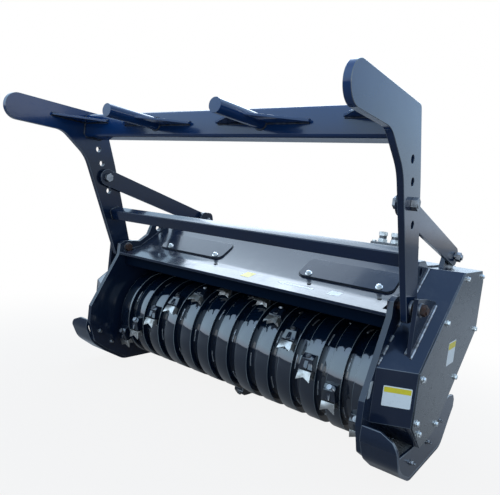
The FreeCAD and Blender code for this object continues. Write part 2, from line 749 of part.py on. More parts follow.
beam_y = c.pivot_y - c.beam_face
beam_z = c.horn_top - 15 - c.beam_size / 2
keep(square_tube("top_beam", beam_y, beam_z, c.beam_size, c.beam_wall, 12), "top_beam")
bar_y = c.pivot_y - c.bar_ahead
bar_z = c.pivot_z + c.bar_rise
keep(square_tube("lower_bar", bar_y, bar_z, c.bar_size, c.bar_wall, 5, lean), "lower_bar")

# Pipe horns, closed at their tips, with level gussets on both sides
beam_front = beam_y - c.beam_size / 2
for side, word in SIDES:
    x = c.pipe_spacing * (side / 2)
    pipe = doc.addObject("Part::Cylinder", f"pipe_tube_{word}")
    pipe.Placement.Rotation = FreeCAD.Rotation(V(1, 0, 0), 90)
    bore = doc.addObject("Part::Cylinder", f"pipe_bore_{word}")
    bore.Placement.Rotation = FreeCAD.Rotation(V(1, 0, 0), 90)
    for item, radius, length in ((pipe, c.pipe_r, c.pipe_reach),
                                 (bore, c.pipe_r - c.pipe_wall, c.pipe_reach - c.pipe_wall)):
        for prop, size in (("Radius", radius), ("Height", length), ("Placement.Base.x", x),
                           ("Placement.Base.y", beam_front), ("Placement.Base.z", beam_z)):
            bind(item, prop, size)
    tube = cut(f"pipe_hollow_{word}", pipe, bore)
    doc.recompute()
    fins = []
    for way in (-1, 1):
        near = x.number + way * (c.pipe_r.number - 2)
        far = x.number + way * (c.gusset_leg.number + c.pipe_r.number)
        z = beam_z.number - c.gusset_sheet.number / 2
        front = beam_front.number
        fin = face([(near, front, z), (far, front, z), (far, front - 15, z),
                    (near, front - 130, z)]).extrude(V(0, 0, c.gusset_sheet.number))
        fins.append(fin.cut(bore.Shape))
    horn = tube.Shape.fuse(fins).removeSplitter()
    keep(built(f"pipe_horn_{word}", horn), f"pipe_horn_{word}")

# Corner gussets between the arms and the beam
corner_plates = []
for side, word in SIDES:
    far = side * arm_near.number
    near = far - side * c.gusset_leg.number
    z = beam_z.number + 10
    front = beam_front.number
    corner_plates.append(face([
        (far, front, z), (near, front, z), (near, front - 12, z),
        (far - side * 12, front - c.gusset_leg.number, z), (far, front - c.gusset_leg.number, z),
    ]).extrude(V(0, 0, c.gusset_sheet.number)))
keep(built("beam_gussets", Part.makeCompound(corner_plates)), "beam_gussets")

# Braces from the arms' third holes back to the rear pins
front_pin = up_arm(c.hole_first + c.hole_step)
brace_run = c.brace_pin_y.number - front_pin[0].number
brace_rise = front_pin[1].number - c.brace_pin_z.number
brace_angle = math.atan2(brace_rise, brace_run)
brace_length = math.hypot(brace_run, brace_rise)
brace_near = side_face + (c.arm_gap - c.brace_sheet) / 2
for side, word in SIDES:
    r = c.brace_width.number / 2
    x = side * brace_near.number
    depth = V(side * c.brace_sheet.number, 0, 0)
    strap = face([(x, 0, -r), (x, 0, r), (x, -brace_length, r),
                  (x, -brace_length, -r)]).extrude(depth)
    ends = [Part.makeCylinder(r, c.brace_sheet.number, V(x, y, 0), V(side, 0, 0))
            for y in (0, -brace_length)]
    holes = [Part.makeCylinder(c.bolt_r.number + 0.05, 100, V(x - side * 20, y, 0), V(side, 0, 0))
             for y in (0, -brace_length)]
    shape = strap.fuse(ends).removeSplitter().cut(holes)
    item = built(f"brace_{word}", shape)
    item.Placement = FreeCAD.Placement(
        V(0, c.brace_pin_y.number, c.brace_pin_z.number),
        FreeCAD.Rotation(V(1, 0, 0), -math.degrees(brace_angle)))
    keep(item, f"brace_{word}")

# Brace bolts: rear ones in the side plates' ears, front ones in the braces with nuts on the arms
for side, word in SIDES:
    length = c.side_sheet + c.arm_gap + 24
    start = half - 14
    shank = cross_pin(f"rear_shank_{word}", start_of(side, start, length + 14), c.brace_pin_y,
                      c.brace_pin_z, c.bolt_r, length + 14)
    head = cross_hexagon(f"rear_head_{word}", start_of(side, start, 13.7), c.brace_pin_y,
                         c.brace_pin_z, c.bolt_r + 9, 13.7)
    nut = cross_hexagon(f"rear_nut_{word}", start_of(side, side_face + c.arm_gap, 18),
                        c.brace_pin_y, c.brace_pin_z, c.bolt_r + 9, 18)
    keep(fuse(f"brace_pin_{word}", [shank, head, nut]), f"brace_pin_{word}")
    start = brace_near - 16
    shank = cross_pin(f"front_shank_{word}", start_of(side, start, c.brace_sheet + 16),
                      front_pin[0], front_pin[1], c.bolt_r, c.brace_sheet + 16)
    head = cross_hexagon(f"front_head_{word}", start_of(side, start, 15.7), front_pin[0],
                         front_pin[1], c.bolt_r + 9, 15.7)
    keep(fuse(f"brace_bolt_{word}", [shank, head]), f"brace_bolt_{word}")
    start = arm_near
    shank = cross_pin(f"nut_shank_{word}", start_of(side, start, c.arm_sheet + 20),
                      front_pin[0], front_pin[1], c.hole_r - 0.3, c.arm_sheet + 20)
    nut_start = arm_near + c.arm_sheet + c.seat_gap
    nut = cross_hexagon(f"nut_{word}", start_of(side, nut_start, 18), front_pin[0],
                        front_pin[1], c.bolt_r + 9, 18)
    keep(fuse(f"brace_nut_{word}", [shank, nut]), f"brace_nut_{word}")

# Attachment plate at the rear, with an upper rail above it and ribs behind it
plate_z = c.hood_top - c.adapter_height
plate_y = c.rear_y + c.adapter_stand_off
rail_z = c.hood_top - c.rail_height
edge = c.adapter_width / 2


def rectangle(x, z, width, height):
    """Corners of a rectangle with its lower edge's middle at x, z."""
    x = as_size(x)
    return [(x - width / 2, z), (x + width / 2, z), (x + width / 2, z + height),
            (x - width / 2, z + height)]


adapter = doc.addObject("PartDesign::Body", "adapter_plate")
sketch = new_sketch(adapter, "XZ_Plane", "adapter_outline", -plate_y - c.adapter_sheet)
draw_polygon(sketch, rectangle(0, plate_z, c.adapter_width, rail_z - plate_z))
for side, word in SIDES:
    draw_polygon(sketch, rectangle(c.lock_spacing * (side / 2), plate_z + 30, c.lock_slot_width,
                                   c.lock_slot_height))
draw_polygon(sketch, rectangle(0, plate_z + 130, c.window_width, c.window_height))
pad = adapter.newObject("PartDesign::Pad", "adapter_pad")
pad.Profile = sketch
bind(pad, "Length", c.adapter_sheet)
doc.recompute()
keep(adapter, "adapter_plate")
rail_tip = plate_y + c.adapter_rail
rail = side_body("adapter_rail", [
    (plate_y, rail_z), (plate_y + c.adapter_sheet, rail_z), (rail_tip, rail_z + 8),
    (rail_tip, c.hood_top), (plate_y, c.hood_top),
], -edge, c.adapter_width)
keep(rail, "adapter_rail")
ribs_of_adapter = []
for side, word in SIDES:
    for place, near in (("outer", edge - 79), ("inner", c.window_width / 2 + 56)):
        ribs_of_adapter.append(box(
            f"adapter_rib_{place}_{word}", start_of(side, near, c.adapter_rib), c.rear_y,
            plate_z + 60, c.adapter_rib, c.adapter_stand_off, c.adapter_height - 70))
keep(fuse("adapter_ribs", ribs_of_adapter), "adapter_ribs")

# Hydraulic manifold with three port stubs on the hood's top
manifold_x = half - c.manifold_gap - c.manifold_length
manifold_y = c.rear_y - c.manifold_rear - c.manifold_width
manifold = box("manifold_block", manifold_x, manifold_y, c.hood_top, c.manifold_length,
               c.manifold_width, c.manifold_height)
stubs = []
for index in range(3):
    stub_pipe = doc.addObject("Part::Cylinder", f"port_{index}")
    for prop, size in (
            ("Radius", c.port_r), ("Height", c.port_rise),
            ("Placement.Base.x",
             manifold_x + c.manifold_length / 2 + c.port_pitch * (index - 1)),
            ("Placement.Base.y", manifold_y + c.manifold_width / 2),
            ("Placement.Base.z", c.hood_top + c.manifold_height)):
        bind(stub_pipe, prop, size)
    stubs.append(stub_pipe)
keep(fuse("manifold", [manifold] + stubs), "manifold")

doc.recompute()
for item in doc.Objects:
    if "Invalid" in item.State or "Error" in item.State:
        raise RuntimeError(f"{item.Name} didn't recompute: {item.State}")
os.makedirs("parts", exist_ok=True)
for item in nodes:
    if item.Shape.isNull() or not item.Shape.isValid():
        raise RuntimeError(f"{item.Label} has no valid shape")
    item.Shape.exportStep(os.path.join("parts", item.Label + ".step"))
print(len(nodes), "sub-parts written")
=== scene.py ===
import json
import math

import bmesh
import bpy
from mathutils import Matrix, Vector

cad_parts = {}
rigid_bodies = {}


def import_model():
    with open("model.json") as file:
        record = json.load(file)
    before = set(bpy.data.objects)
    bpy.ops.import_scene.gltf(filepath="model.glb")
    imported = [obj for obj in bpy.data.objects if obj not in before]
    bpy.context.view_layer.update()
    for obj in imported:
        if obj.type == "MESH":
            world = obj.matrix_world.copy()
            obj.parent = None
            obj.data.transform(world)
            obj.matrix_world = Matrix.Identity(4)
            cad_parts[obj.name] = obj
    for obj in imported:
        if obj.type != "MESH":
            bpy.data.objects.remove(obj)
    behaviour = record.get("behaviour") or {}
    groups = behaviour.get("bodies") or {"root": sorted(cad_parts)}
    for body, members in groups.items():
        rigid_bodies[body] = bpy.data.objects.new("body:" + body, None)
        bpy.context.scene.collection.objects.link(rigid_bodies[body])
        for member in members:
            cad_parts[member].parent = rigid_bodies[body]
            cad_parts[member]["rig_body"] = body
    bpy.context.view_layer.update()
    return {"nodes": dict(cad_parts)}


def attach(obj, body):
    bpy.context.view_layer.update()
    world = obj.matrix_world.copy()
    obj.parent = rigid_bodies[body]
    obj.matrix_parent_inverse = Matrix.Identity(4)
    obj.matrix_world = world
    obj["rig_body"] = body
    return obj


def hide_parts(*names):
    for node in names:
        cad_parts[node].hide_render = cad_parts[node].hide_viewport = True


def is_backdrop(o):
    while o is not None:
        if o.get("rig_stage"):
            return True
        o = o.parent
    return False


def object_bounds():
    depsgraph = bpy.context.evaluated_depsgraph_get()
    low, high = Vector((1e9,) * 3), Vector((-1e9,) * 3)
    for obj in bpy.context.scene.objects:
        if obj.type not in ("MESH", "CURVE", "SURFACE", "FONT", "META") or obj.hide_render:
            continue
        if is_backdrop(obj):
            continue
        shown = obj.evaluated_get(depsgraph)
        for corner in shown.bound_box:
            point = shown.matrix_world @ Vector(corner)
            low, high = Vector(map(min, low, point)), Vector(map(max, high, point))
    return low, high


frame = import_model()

# Lengths are in metres; X runs across the head, its open front faces -Y and Z is up.
MM = 0.001
SIDES = ((1, "right"), (-1, "left"))
scene = bpy.context.scene


# Materials

class Wire:
    """A socket in a material; arithmetic on it adds Math nodes."""

    def __init__(self, finish, socket):
        self.finish = finish
        self.socket = socket

    def maths(self, operation, *values, clamp=False):
        settings = {"operation": operation, "use_clamp": clamp}
        return self.finish.node("ShaderNodeMath", settings, values)

    def __add__(self, other):
        return self.maths("ADD", self, other)

    def __sub__(self, other):
        return self.maths("SUBTRACT", self, other)

    def __rsub__(self, other):
        return self.maths("SUBTRACT", other, self)

    def __mul__(self, other):
        return self.maths("MULTIPLY", self, other)

    __radd__ = __add__
    __rmul__ = __mul__

    def between(self, low, high):
        """0 below low, 1 above high and smooth between them."""
        settings = {"interpolation_type": "SMOOTHSTEP"}
        return self.finish.node("ShaderNodeMapRange", settings, {0: self, 1: low, 2: high})


class Finish:
    """One procedural material, built by adding nodes."""

    def __init__(self, name):
        self.material = bpy.data.materials.new(name)
        self.material.use_nodes = True
        self.tree = self.material.node_tree
        self.tree.nodes.clear()
        self.place = self.node("ShaderNodeTexCoord", output="Object")

    def node(self, kind, settings=None, inputs=(), output=0):
        made = self.tree.nodes.new(kind)
        for key, value in (settings or {}).items():
            if key == "stops":
                ramp = made.color_ramp.elements
                while len(ramp) < len(value):
                    ramp.new(0.5)
                for stop, (position, colour) in zip(ramp, value):
                    stop.position = position
                    stop.color = (*colour, 1.0)
            else:
                setattr(made, key, value)
        pairs = inputs.items() if isinstance(inputs, dict) else enumerate(inputs)
        for key, value in pairs:
            if isinstance(value, Wire):
                self.tree.links.new(value.socket, made.inputs[key])
            else:
                made.inputs[key].default_value = value
        return Wire(self, made.outputs[output]) if made.outputs else None

    def noise(self, scale, detail=2.0, roughness=0.5, stretch=None, place=None):
        place = place or self.place
        if stretch:
            place = self.node("ShaderNodeMapping", None, {"Vector": place, "Scale": stretch})
        inputs = {"Vector": place, "Scale": scale, "Detail": detail, "Roughness": roughness}
        return self.node("ShaderNodeTexNoise", None, inputs)

    def upward(self):
        """How far the surface faces up, from -1 to 1."""
        normal = self.node("ShaderNodeTexCoord", output="Normal")
        return self.node("ShaderNodeSeparateXYZ", None, (normal,), output="Z")

    def mix(self, share, first, second):
        """Colour first where share is 0 and second where it is 1."""
        first, second = [(*value, 1.0) if isinstance(value, tuple) else value
                         for value in (first, second)]
        return self.node("ShaderNodeMix", {"data_type": "RGBA"},
                         {0: share, 6: first, 7: second}, output=2)

    def bump(self, height, strength, distance, normal=None):
        inputs = {"Strength": strength, "Distance": distance, "Height": height}
        if normal:
            inputs["Normal"] = normal
        return self.node("ShaderNodeBump", None, inputs)

    def surface(self, inputs):
        """Close the material with a Principled shader that has these inputs."""
        shader = self.node("ShaderNodeBsdfPrincipled", None, inputs)
        self.node("ShaderNodeOutputMaterial", None, {"Surface": shader})
        return self.material


def gloss_paint(name, colour, sheen, dust=0.25, orange_peel=0.10, roughness=0.16,
                coat=0.25, bend=1.36, ripple=0.08, sky_reflection_blue=None):
    """Thick dark machine enamel: slow shade drift, orange peel, fine dust and dull smears, and
    where asked a painted sky reflection that turns it bluer higher up.
    """
    f = Finish(name)
    drift = f.noise(2.3, 3.0, 0.6).between(0.35, 0.7)
    body = f.mix(drift, colour, sheen)
    # Painted sky reflection: above about 1 m the colour turns towards a saturated blue that
    # stands in for the sky seen in the gloss
    if sky_reflection_blue:
        height = f.node("ShaderNodeSeparateXYZ", None, (f.place,), output="Z")
        sky_reflection_share = (height + drift * 0.06).between(1.02, 1.24)
        body = f.mix(sky_reflection_share, body, sky_reflection_blue)
    film = f.noise(9.0, 5.0, 0.65).between(0.46, 0.78)
    level = f.upward().between(0.1, 0.95)
    lying = film * (level * 0.8 + 0.2) * dust
    specks = f.noise(420.0, 1.0, 0.4).between(0.70, 0.78) * dust
    body = f.mix(lying, body, (0.16, 0.16, 0.165))
    body = f.mix(specks * film, body, (0.22, 0.21, 0.20))
    smear = f.noise(16.0, 3.0, 0.6, stretch=(1.0, 1.0, 3.5)).between(0.5, 0.8)
    rough = smear * 0.10 + lying * 0.5 + roughness
    peel = f.noise(170.0, 2.0, 0.5)
    wave = f.noise(11.0, 1.0, 0.5)
    normal = f.bump(peel, orange_peel, 0.0006, f.bump(wave, ripple, 0.004))
    return f.surface({"Base Color": body, "Roughness": rough, "Normal": normal,
                      "Coat Weight": coat, "Coat Roughness": 0.06, "IOR": bend})


def lit_and_worn_edge(name, colour, bare):
    """The same enamel on an edge, painted lighter to stand in for the edge's highlight, with
    chips down to the steel.
    """
    f = Finish(name)
    chips = f.noise(75.0, 4.0, 0.7).between(0.66, 0.74)
    # Painted highlight: the edge colour is lighter than the enamel and patches of it lighter
    # again, standing in for light caught on the rounded edges
    thin = f.noise(6.0, 2.0, 0.5).between(0.3, 0.7)
    body = f.mix(thin, colour, (colour[0] * 2.4, colour[1] * 2.3, colour[2] * 2.1))
    body = f.mix(chips, body, bare)
    return f.surface({"Base Color": body, "Roughness": chips * 0.2 + 0.22, "Metallic": chips,
                      "Coat Weight": 0.4, "Coat Roughness": 0.1})


def ground_steel(name, colour, dark, lines=(1.0, 1.0, 9.0), roughness=0.28, stain=0.5):
    """Bright steel with grinding lines, dull patches and stains."""
    f = Finish(name)
    grain = f.noise(320.0, 2.0, 0.5, stretch=lines)
    patch = f.noise(38.0, 4.0, 0.6).between(0.42, 0.72)
    body = f.mix(patch * stain, colour, dark)
    rough = patch * 0.22 + grain * 0.12 + roughness
    normal = f.bump(grain, 0.25, 0.0003, f.bump(f.noise(60.0, 3.0, 0.6), 0.15, 0.0012))
    return f.surface({"Base Color": body, "Roughness": rough, "Normal": normal,
                      "Metallic": 1.0})


def weld_metal(name, colour, dark):
    """A weld's metal, silvery with brown and dark heat patches."""
    f = Finish(name)
    patch = f.noise(55.0, 3.0, 0.65).between(0.4, 0.7)
    body = f.mix(patch, colour, dark)
    normal = f.bump(f.noise(600.0, 2.0, 0.6), 0.35, 0.0006)
    return f.surface({"Base Color": body, "Roughness": patch * 0.2 + 0.34, "Normal": normal,
                      "Metallic": 0.55})


def rusty_steel(name):
    f = Finish(name)
    crust = f.noise(120.0, 5.0, 0.7).between(0.35, 0.65)
    body = f.mix(crust, (0.022, 0.013, 0.011), (0.075, 0.030, 0.018))
    normal = f.bump(f.noise(500.0, 4.0, 0.7), 0.5, 0.0008)
    return f.surface({"Base Color": body, "Roughness": crust * 0.3 + 0.5, "Normal": normal,
                      "Metallic": 0.3})


def label_film(name, colour, soil):
    """Printed film without any print: its colour, faint grime and a soft gloss."""
    f = Finish(name)
    grime = f.noise(70.0, 4.0, 0.65).between(0.5, 0.85)
    body = f.mix(grime * 0.35, colour, soil)
    normal = f.bump(f.noise(90.0, 2.0, 0.5), 0.08, 0.0008)
    return f.surface({"Base Color": body, "Roughness": grime * 0.2 + 0.35, "Normal": normal})


def dark_rubber(name):
    f = Finish(name)
    bloom = f.noise(45.0, 4.0, 0.6).between(0.4, 0.8)
    body = f.mix(bloom, (0.006, 0.006, 0.007), (0.02, 0.02, 0.021))
    normal = f.bump(f.noise(700.0, 2.0, 0.5), 0.2, 0.0004)
    return f.surface({"Base Color": body, "Roughness": bloom * 0.2 + 0.55, "Normal": normal})


GRAPHITE = (0.0060, 0.0125, 0.0310)
SLATE = (0.0085, 0.0165, 0.0350)
NAVY = (0.0030, 0.0130, 0.0420)
INK = (0.0016, 0.0062, 0.0160)
PEWTER = (0.0330, 0.0350, 0.0370)

housing_paint = gloss_paint("housing_enamel", GRAPHITE, SLATE, dust=0.16)
cover_paint = gloss_paint("cover_enamel", GRAPHITE, (0.0140, 0.0190, 0.0360), dust=0.10)
lid_paint = gloss_paint("lid_enamel", PEWTER, (0.050, 0.048, 0.045), dust=0.08,
                        orange_peel=0.05, roughness=0.24, coat=0.4, bend=1.45)
# Painted shade: a near-black, dull enamel for the anvil bar under the hood's lip, darker than the
# housing's own enamel so that it reads as the shade there
painted_shade_paint = gloss_paint("shaded_enamel", INK, (0.002, 0.006, 0.014), dust=0.01,
                          roughness=0.5, coat=0.0, bend=1.08)
rotor_paint = gloss_paint("rotor_enamel", INK, (0.002, 0.009, 0.022), dust=0.03,
                          orange_peel=0.05, roughness=0.07, coat=1.0, bend=1.6, ripple=0.02)
# The frame's enamel carries a painted sky reflection, bluer at the tops of the arms, beam and
# horns
frame_paint = gloss_paint("frame_enamel", NAVY, GRAPHITE, dust=0.10,
                          sky_reflection_blue=(0.004, 0.036, 0.130))
# Edge roundings get a painted edge highlight, lighter than the enamel, with real chips down to
# the steel
edge_highlight_and_wear = lit_and_worn_edge("enamel_edge", (0.050, 0.060, 0.078), (0.30, 0.31, 0.33))
tooth_steel = ground_steel("ground_tooth", (0.52, 0.50, 0.47), (0.17, 0.14, 0.11),
                           roughness=0.36, stain=0.6)
holder_paint = gloss_paint("holder_enamel", INK, (0.008, 0.013, 0.024), dust=0.10,
                           orange_peel=0.3, roughness=0.14, coat=0.8, bend=1.5)
# Rib rims: a painted highlight along the ribs' rounded edges, much lighter than the rotor's
# enamel, with chips down to bare steel
rim_highlight_and_wear = lit_and_worn_edge("rib_rim", (0.085, 0.095, 0.105), (0.40, 0.41, 0.42))
zinc = ground_steel("bolt_zinc_plate", (0.72, 0.72, 0.70), (0.45, 0.44, 0.40),
                    lines=(1.0, 1.0, 1.0), roughness=0.24, stain=0.35)
dull_zinc = ground_steel("dulled_zinc", (0.30, 0.30, 0.31), (0.12, 0.12, 0.12),
                         lines=(1.0, 1.0, 1.0), roughness=0.34, stain=0.6)
weld = weld_metal("weld_bead", (0.50, 0.51, 0.53), (0.20, 0.18, 0.17))
dark_weld = weld_metal("painted_weld", (0.060, 0.068, 0.085), (0.016, 0.020, 0.030))
iron = ground_steel("bearing_iron", (0.16, 0.16, 0.165), (0.06, 0.06, 0.062),
                    lines=(1.0, 1.0, 1.0), roughness=0.42, stain=0.6)
rust = rusty_steel("rusty_bolt")
label_white = label_film("label_white", (0.80, 0.80, 0.78), (0.35, 0.33, 0.30))
label_yellow = label_film("label_yellow", (0.80, 0.62, 0.03), (0.30, 0.24, 0.08))
label_grey = label_film("label_grey", (0.42, 0.43, 0.43), (0.22, 0.22, 0.22))
# Rubber for the lip pads; the same dark material makes the painted shade strip round the hatches
pad_rubber_and_painted_shade = dark_rubber("gasket_rubber")


# Making meshes

def named_object(name, mesh):
    made = bpy.data.objects.new(name, mesh)
    scene.collection.objects.link(made)
    return made


def piece_from(name, bm, *materials):
    """An object from a bmesh, shaded smooth where its faces meet at a blunt angle."""
    bmesh.ops.recalc_face_normals(bm, faces=bm.faces)
    mesh = bpy.data.meshes.new(name)
    bm.to_mesh(mesh)
    bm.free()
    for material in materials:
        mesh.materials.append(material)
    made = named_object(name, mesh)
    mesh.shade_smooth()
    mesh.set_sharp_from_angle(angle=math.radians(32))
    return made


def settled(piece):
    """The piece with its modifiers made part of its mesh."""
    graph = bpy.context.evaluated_depsgraph_get()
    mesh = bpy.data.meshes.new_from_object(piece.evaluated_get(graph), depsgraph=graph)
    old = piece.data
    piece.modifiers.clear()
    piece.data = mesh
    mesh.name = piece.name
    if old.users == 0:
        bpy.data.meshes.remove(old)
    return piece


def eased(piece, width, segments=2, edge_material=None):
    """Round the piece's sharp edges; edge_material is the index of the rounding's material."""
    bevel = piece.modifiers.new("eased_edges", "BEVEL")
    bevel.width = width
    bevel.segments = segments
    bevel.limit_method = "ANGLE"
    bevel.angle_limit = math.radians(32)
    bevel.harden_normals = True
    bevel.miter_outer = "MITER_ARC"
    if edge_material is not None:
        bevel.material = edge_material
    return settled(piece)


def on_body(piece, body, replaced=()):
    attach(piece, body)
    if replaced:
        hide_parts(*replaced)
    return piece


def dressed(node, material, width=1.5 * MM, edge=None):
    """The CAD node's own shape with merged faces and eased edges, shown in its place."""
    source = frame["nodes"][node]
    bm = bmesh.new()
    bm.from_mesh(source.data)
    bmesh.ops.remove_doubles(bm, verts=bm.verts, dist=0.00002)
    bmesh.ops.dissolve_limit(bm, angle_limit=math.radians(0.7), verts=bm.verts, edges=bm.edges,
                             use_dissolve_boundaries=False)
    piece = piece_from(node + "_dressed", bm, material, *([edge] if edge else []))
    for face in piece.data.polygons:
        face.material_index = 0
    eased(piece, width, 2, 1 if edge else None)
    source.data.materials.clear()
    source.data.materials.append(material)
    return on_body(piece, source["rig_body"], (node,))


def ring_points(count, radius, start=0.0):
    step = 2 * math.pi / count
    return [(radius * math.cos(start + step * i), radius * math.sin(start + step * i))
            for i in range(count)]


def lathe(bm, profile, y, z, steps, material=0):
    """Turn a line of (x, radius) pairs round the X axis through y, z."""
    rings = []
    for x, radius in profile:
        rings.append([bm.verts.new((x, y + a, z + b)) for a, b in ring_points(steps, radius)])
    for near, far in zip(rings[:-1], rings[1:]):
        for i in range(steps):
            j = (i + 1) % steps
            bm.faces.new((near[i], near[j], far[j], far[i])).material_index = material
    return rings


def prism(bm, outline, near, far, material=0):
    """A solid between two outlines of the same number of points."""
    first = [bm.verts.new(near(*point)) for point in outline]
    second = [bm.verts.new(far(*point)) for point in outline]
    count = len(outline)
    faces = [bm.faces.new(first), bm.faces.new(second)]
    for i in range(count):
        j = (i + 1) % count
        faces.append(bm.faces.new((first[i], first[j], second[j], second[i])))
    for face in faces:
        face.material_index = material
    return faces


def sizes_of(*numbers):
    """Millimetres as metres."""
    return [number * MM for number in numbers]


# Camera, light and floor

camera_data = bpy.data.cameras.new("photo_camera")
camera_data.lens = 34.7
camera_data.sensor_width = 36.0
camera_data.clip_end = 100.0
camera = named_object("photo_camera", camera_data)
right = Vector((0.7942, 0.5959, 0.1191)).normalized()
back = Vector((0.5914, -0.8030, 0.0742)).normalized()
up = back.cross(right).normalized()
turn = Matrix((right, up, back)).transposed().to_4x4()
camera.matrix_world = Matrix.Translation((1.2492, -1.6468, 0.8533)) @ turn
scene.camera = camera
scene.view_settings.view_transform = "Standard"


def soft_lamp(name, place, aim, size, power, colour=(1.0, 1.0, 1.0)):
    lamp = bpy.data.lights.new(name, "AREA")
    lamp.shape = "RECTANGLE"
    lamp.size, lamp.size_y = size
    lamp.energy = power
    lamp.color = colour
    holder = named_object(name, lamp)
    holder.location = place
    holder.rotation_euler = (Vector(aim) - Vector(place)).to_track_quat("-Z", "Y").to_euler()
    return holder


soft_lamp("rear_softbox", (-1.8, 4.4, 3.5), (0, 0.2, 0.6), (5.6, 2.4), 150, (0.82, 0.90, 1.0))
soft_lamp("top_softbox", (-2.4, 1.2, 3.9), (0, 0.1, 0.6), (4.2, 2.4), 60, (0.80, 0.90, 1.0))
soft_lamp("side_softbox", (3.8, 1.2, 1.9), (0.6, 0.2, 0.5), (2.0, 1.5), 14)
soft_lamp("fill_lamp", (1.6, -3.4, 0.9), (0.4, 0, 0.4), (0.9, 0.9), 8)

world = bpy.data.worlds.new("studio")
world.use_nodes = True
scene.world = world
world.node_tree.nodes.clear()


def in_world(kind, settings=None, inputs=None):
    """A node of the world; its inputs are values or other nodes' sockets."""
    made = world.node_tree.nodes.new(kind)
    for key, value in (settings or {}).items():
        setattr(made, key, value)
    for key, value in (inputs or {}).items():
        if isinstance(value, bpy.types.NodeSocket):
            world.node_tree.links.new(value, made.inputs[key])
        else:
            made.inputs[key].default_value = value
    return made


# The air is bluish and brightest ahead; seen directly it is white, and gloss shows it brighter
smooth = {"interpolation_type": "SMOOTHSTEP"}
where = in_world("ShaderNodeTexCoord").outputs["Generated"]
split = in_world("ShaderNodeSeparateXYZ", None, {0: where}).outputs
path = in_world("ShaderNodeLightPath").outputs
height = in_world("ShaderNodeMapRange", None, {"Value": split["Z"], "From Min": -1.0})
ahead = in_world("ShaderNodeMapRange", smooth, {
    "Value": split["Y"], "From Min": -0.1, "From Max": -0.7, "To Min": 0.9, "To Max": 1.6})
aside = in_world("ShaderNodeMapRange", smooth, {
    "Value": split["X"], "From Min": 0.15, "From Max": 0.75, "To Min": 1.0, "To Max": 0.5})
sky = in_world("ShaderNodeValToRGB", None, {"Fac": height.outputs[0]})
stops = ((0.0, (0.20, 0.20, 0.20)), (0.49, (0.30, 0.30, 0.30)), (0.505, (0.56, 0.66, 0.80)),
         (0.60, (0.58, 0.80, 1.0)), (0.84, (0.54, 0.76, 1.0)), (0.93, (0.50, 0.70, 1.0)),
         (1.0, (0.30, 0.52, 0.95)))
while len(sky.color_ramp.elements) < len(stops):
    sky.color_ramp.elements.new(0.5)
for element, (position, colour) in zip(sky.color_ramp.elements, stops):
    element.position = position
    element.color = (*colour, 1.0)
choose = in_world("ShaderNodeMix", {"data_type": "RGBA"}, {
    0: path["Is Camera Ray"], 6: sky.outputs[0], 7: (1.0, 1.0, 1.0, 1.0)})
shine = in_world("ShaderNodeMath", {"operation": "MULTIPLY_ADD"}, {
    0: path["Is Glossy Ray"], 1: aside.outputs[0], 2: 0.85})
brighter = in_world("ShaderNodeMath", {"operation": "MULTIPLY"}, {
    0: ahead.outputs[0], 1: shine.outputs[0]})
power = in_world("ShaderNodeMix", None, {
    0: path["Is Camera Ray"], 2: brighter.outputs[0], 3: 1.0})
glow = in_world("ShaderNodeBackground", None, {
    "Color": choose.outputs[2], "Strength": power.outputs[0]})
in_world("ShaderNodeOutputWorld", None, {"Surface": glow.outputs[0]})

floor_mesh = bpy.data.meshes.new("studio_floor")
reach = 30.0
floor_mesh.from_pydata([(-reach, -reach, 0), (reach, -reach, 0), (reach, reach, 0),
                        (-reach, reach, 0)], [], [(0, 1, 2, 3)])
floor = named_object("studio_floor", floor_mesh)
f = Finish("pale_floor")
seen = f.node("ShaderNodeLightPath", output="Is Camera Ray")
mirrored = f.node("ShaderNodeLightPath", output="Is Glossy Ray")
distance = f.node("ShaderNodeVectorMath", {"operation": "LENGTH"}, (f.place,), output="Value")
share = seen * (distance.between(0.9, 2.6) * 0.12 + 0.88) + mirrored * 0.10
tone = f.mix(f.noise(1.5, 3.0, 0.6), (0.26, 0.27, 0.28), (0.28, 0.29, 0.30))
lit = f.node("ShaderNodeBsdfDiffuse", None, {"Color": tone})
white = f.node("ShaderNodeEmission", None, {"Color": (1, 1, 1, 1), "Strength": 1.0})
both = f.node("ShaderNodeMixShader", None, (share, lit, white))
f.node("ShaderNodeOutputMaterial", None, {"Surface": both})
floor_mesh.materials.append(f.material)
floor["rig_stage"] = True


# Geometry node trees

class Tree:
    """A geometry node tree with named inputs, built by adding nodes."""

    def __init__(self, name, inputs):
        self.group = bpy.data.node_groups.new(name, "GeometryNodeTree")
        face = self.group.interface
        face.new_socket("Geometry", in_out="INPUT", socket_type="NodeSocketGeometry")
        self.names = {}
        for label, kind, value in inputs:
            socket = face.new_socket(label, in_out="INPUT", socket_type="NodeSocket" + kind)
            if value is not None:
                socket.default_value = value
            self.names[label] = socket.identifier
        face.new_socket("Geometry", in_out="OUTPUT", socket_type="NodeSocketGeometry")
        self.start = self.group.nodes.new("NodeGroupInput")
        self.end = self.group.nodes.new("NodeGroupOutput")

    def given(self, label):
        return self.start.outputs[label]

    def node(self, kind, settings=None, inputs=None, output=0):
        made = self.group.nodes.new(kind)
        for key, value in (settings or {}).items():
            setattr(made, key, value)
        for key, value in (inputs or {}).items():
            if isinstance(value, bpy.types.NodeSocket):
                self.group.links.new(value, made.inputs[key])
            else:
                made.inputs[key].default_value = value
        return made.outputs[output]

    def close(self, geometry):
        """Realize instances, set the material that the Finish input names, and end there."""
        real = self.node("GeometryNodeRealizeInstances", None, {"Geometry": geometry})
        done = self.node("GeometryNodeSetMaterial", None,
                         {"Geometry": real, "Material": self.given("Finish")})
        self.group.links.new(done, self.end.inputs[0])

    def run(self, name, mesh, values):
        """Feed the mesh and the named values to the tree and keep what comes out as a mesh."""
        piece = named_object(name, mesh)
        step = piece.modifiers.new("rule", "NODES")
        step.node_group = self.group
        for label, value in values.items():
            step[self.names[label]] = value
        return settled(piece)


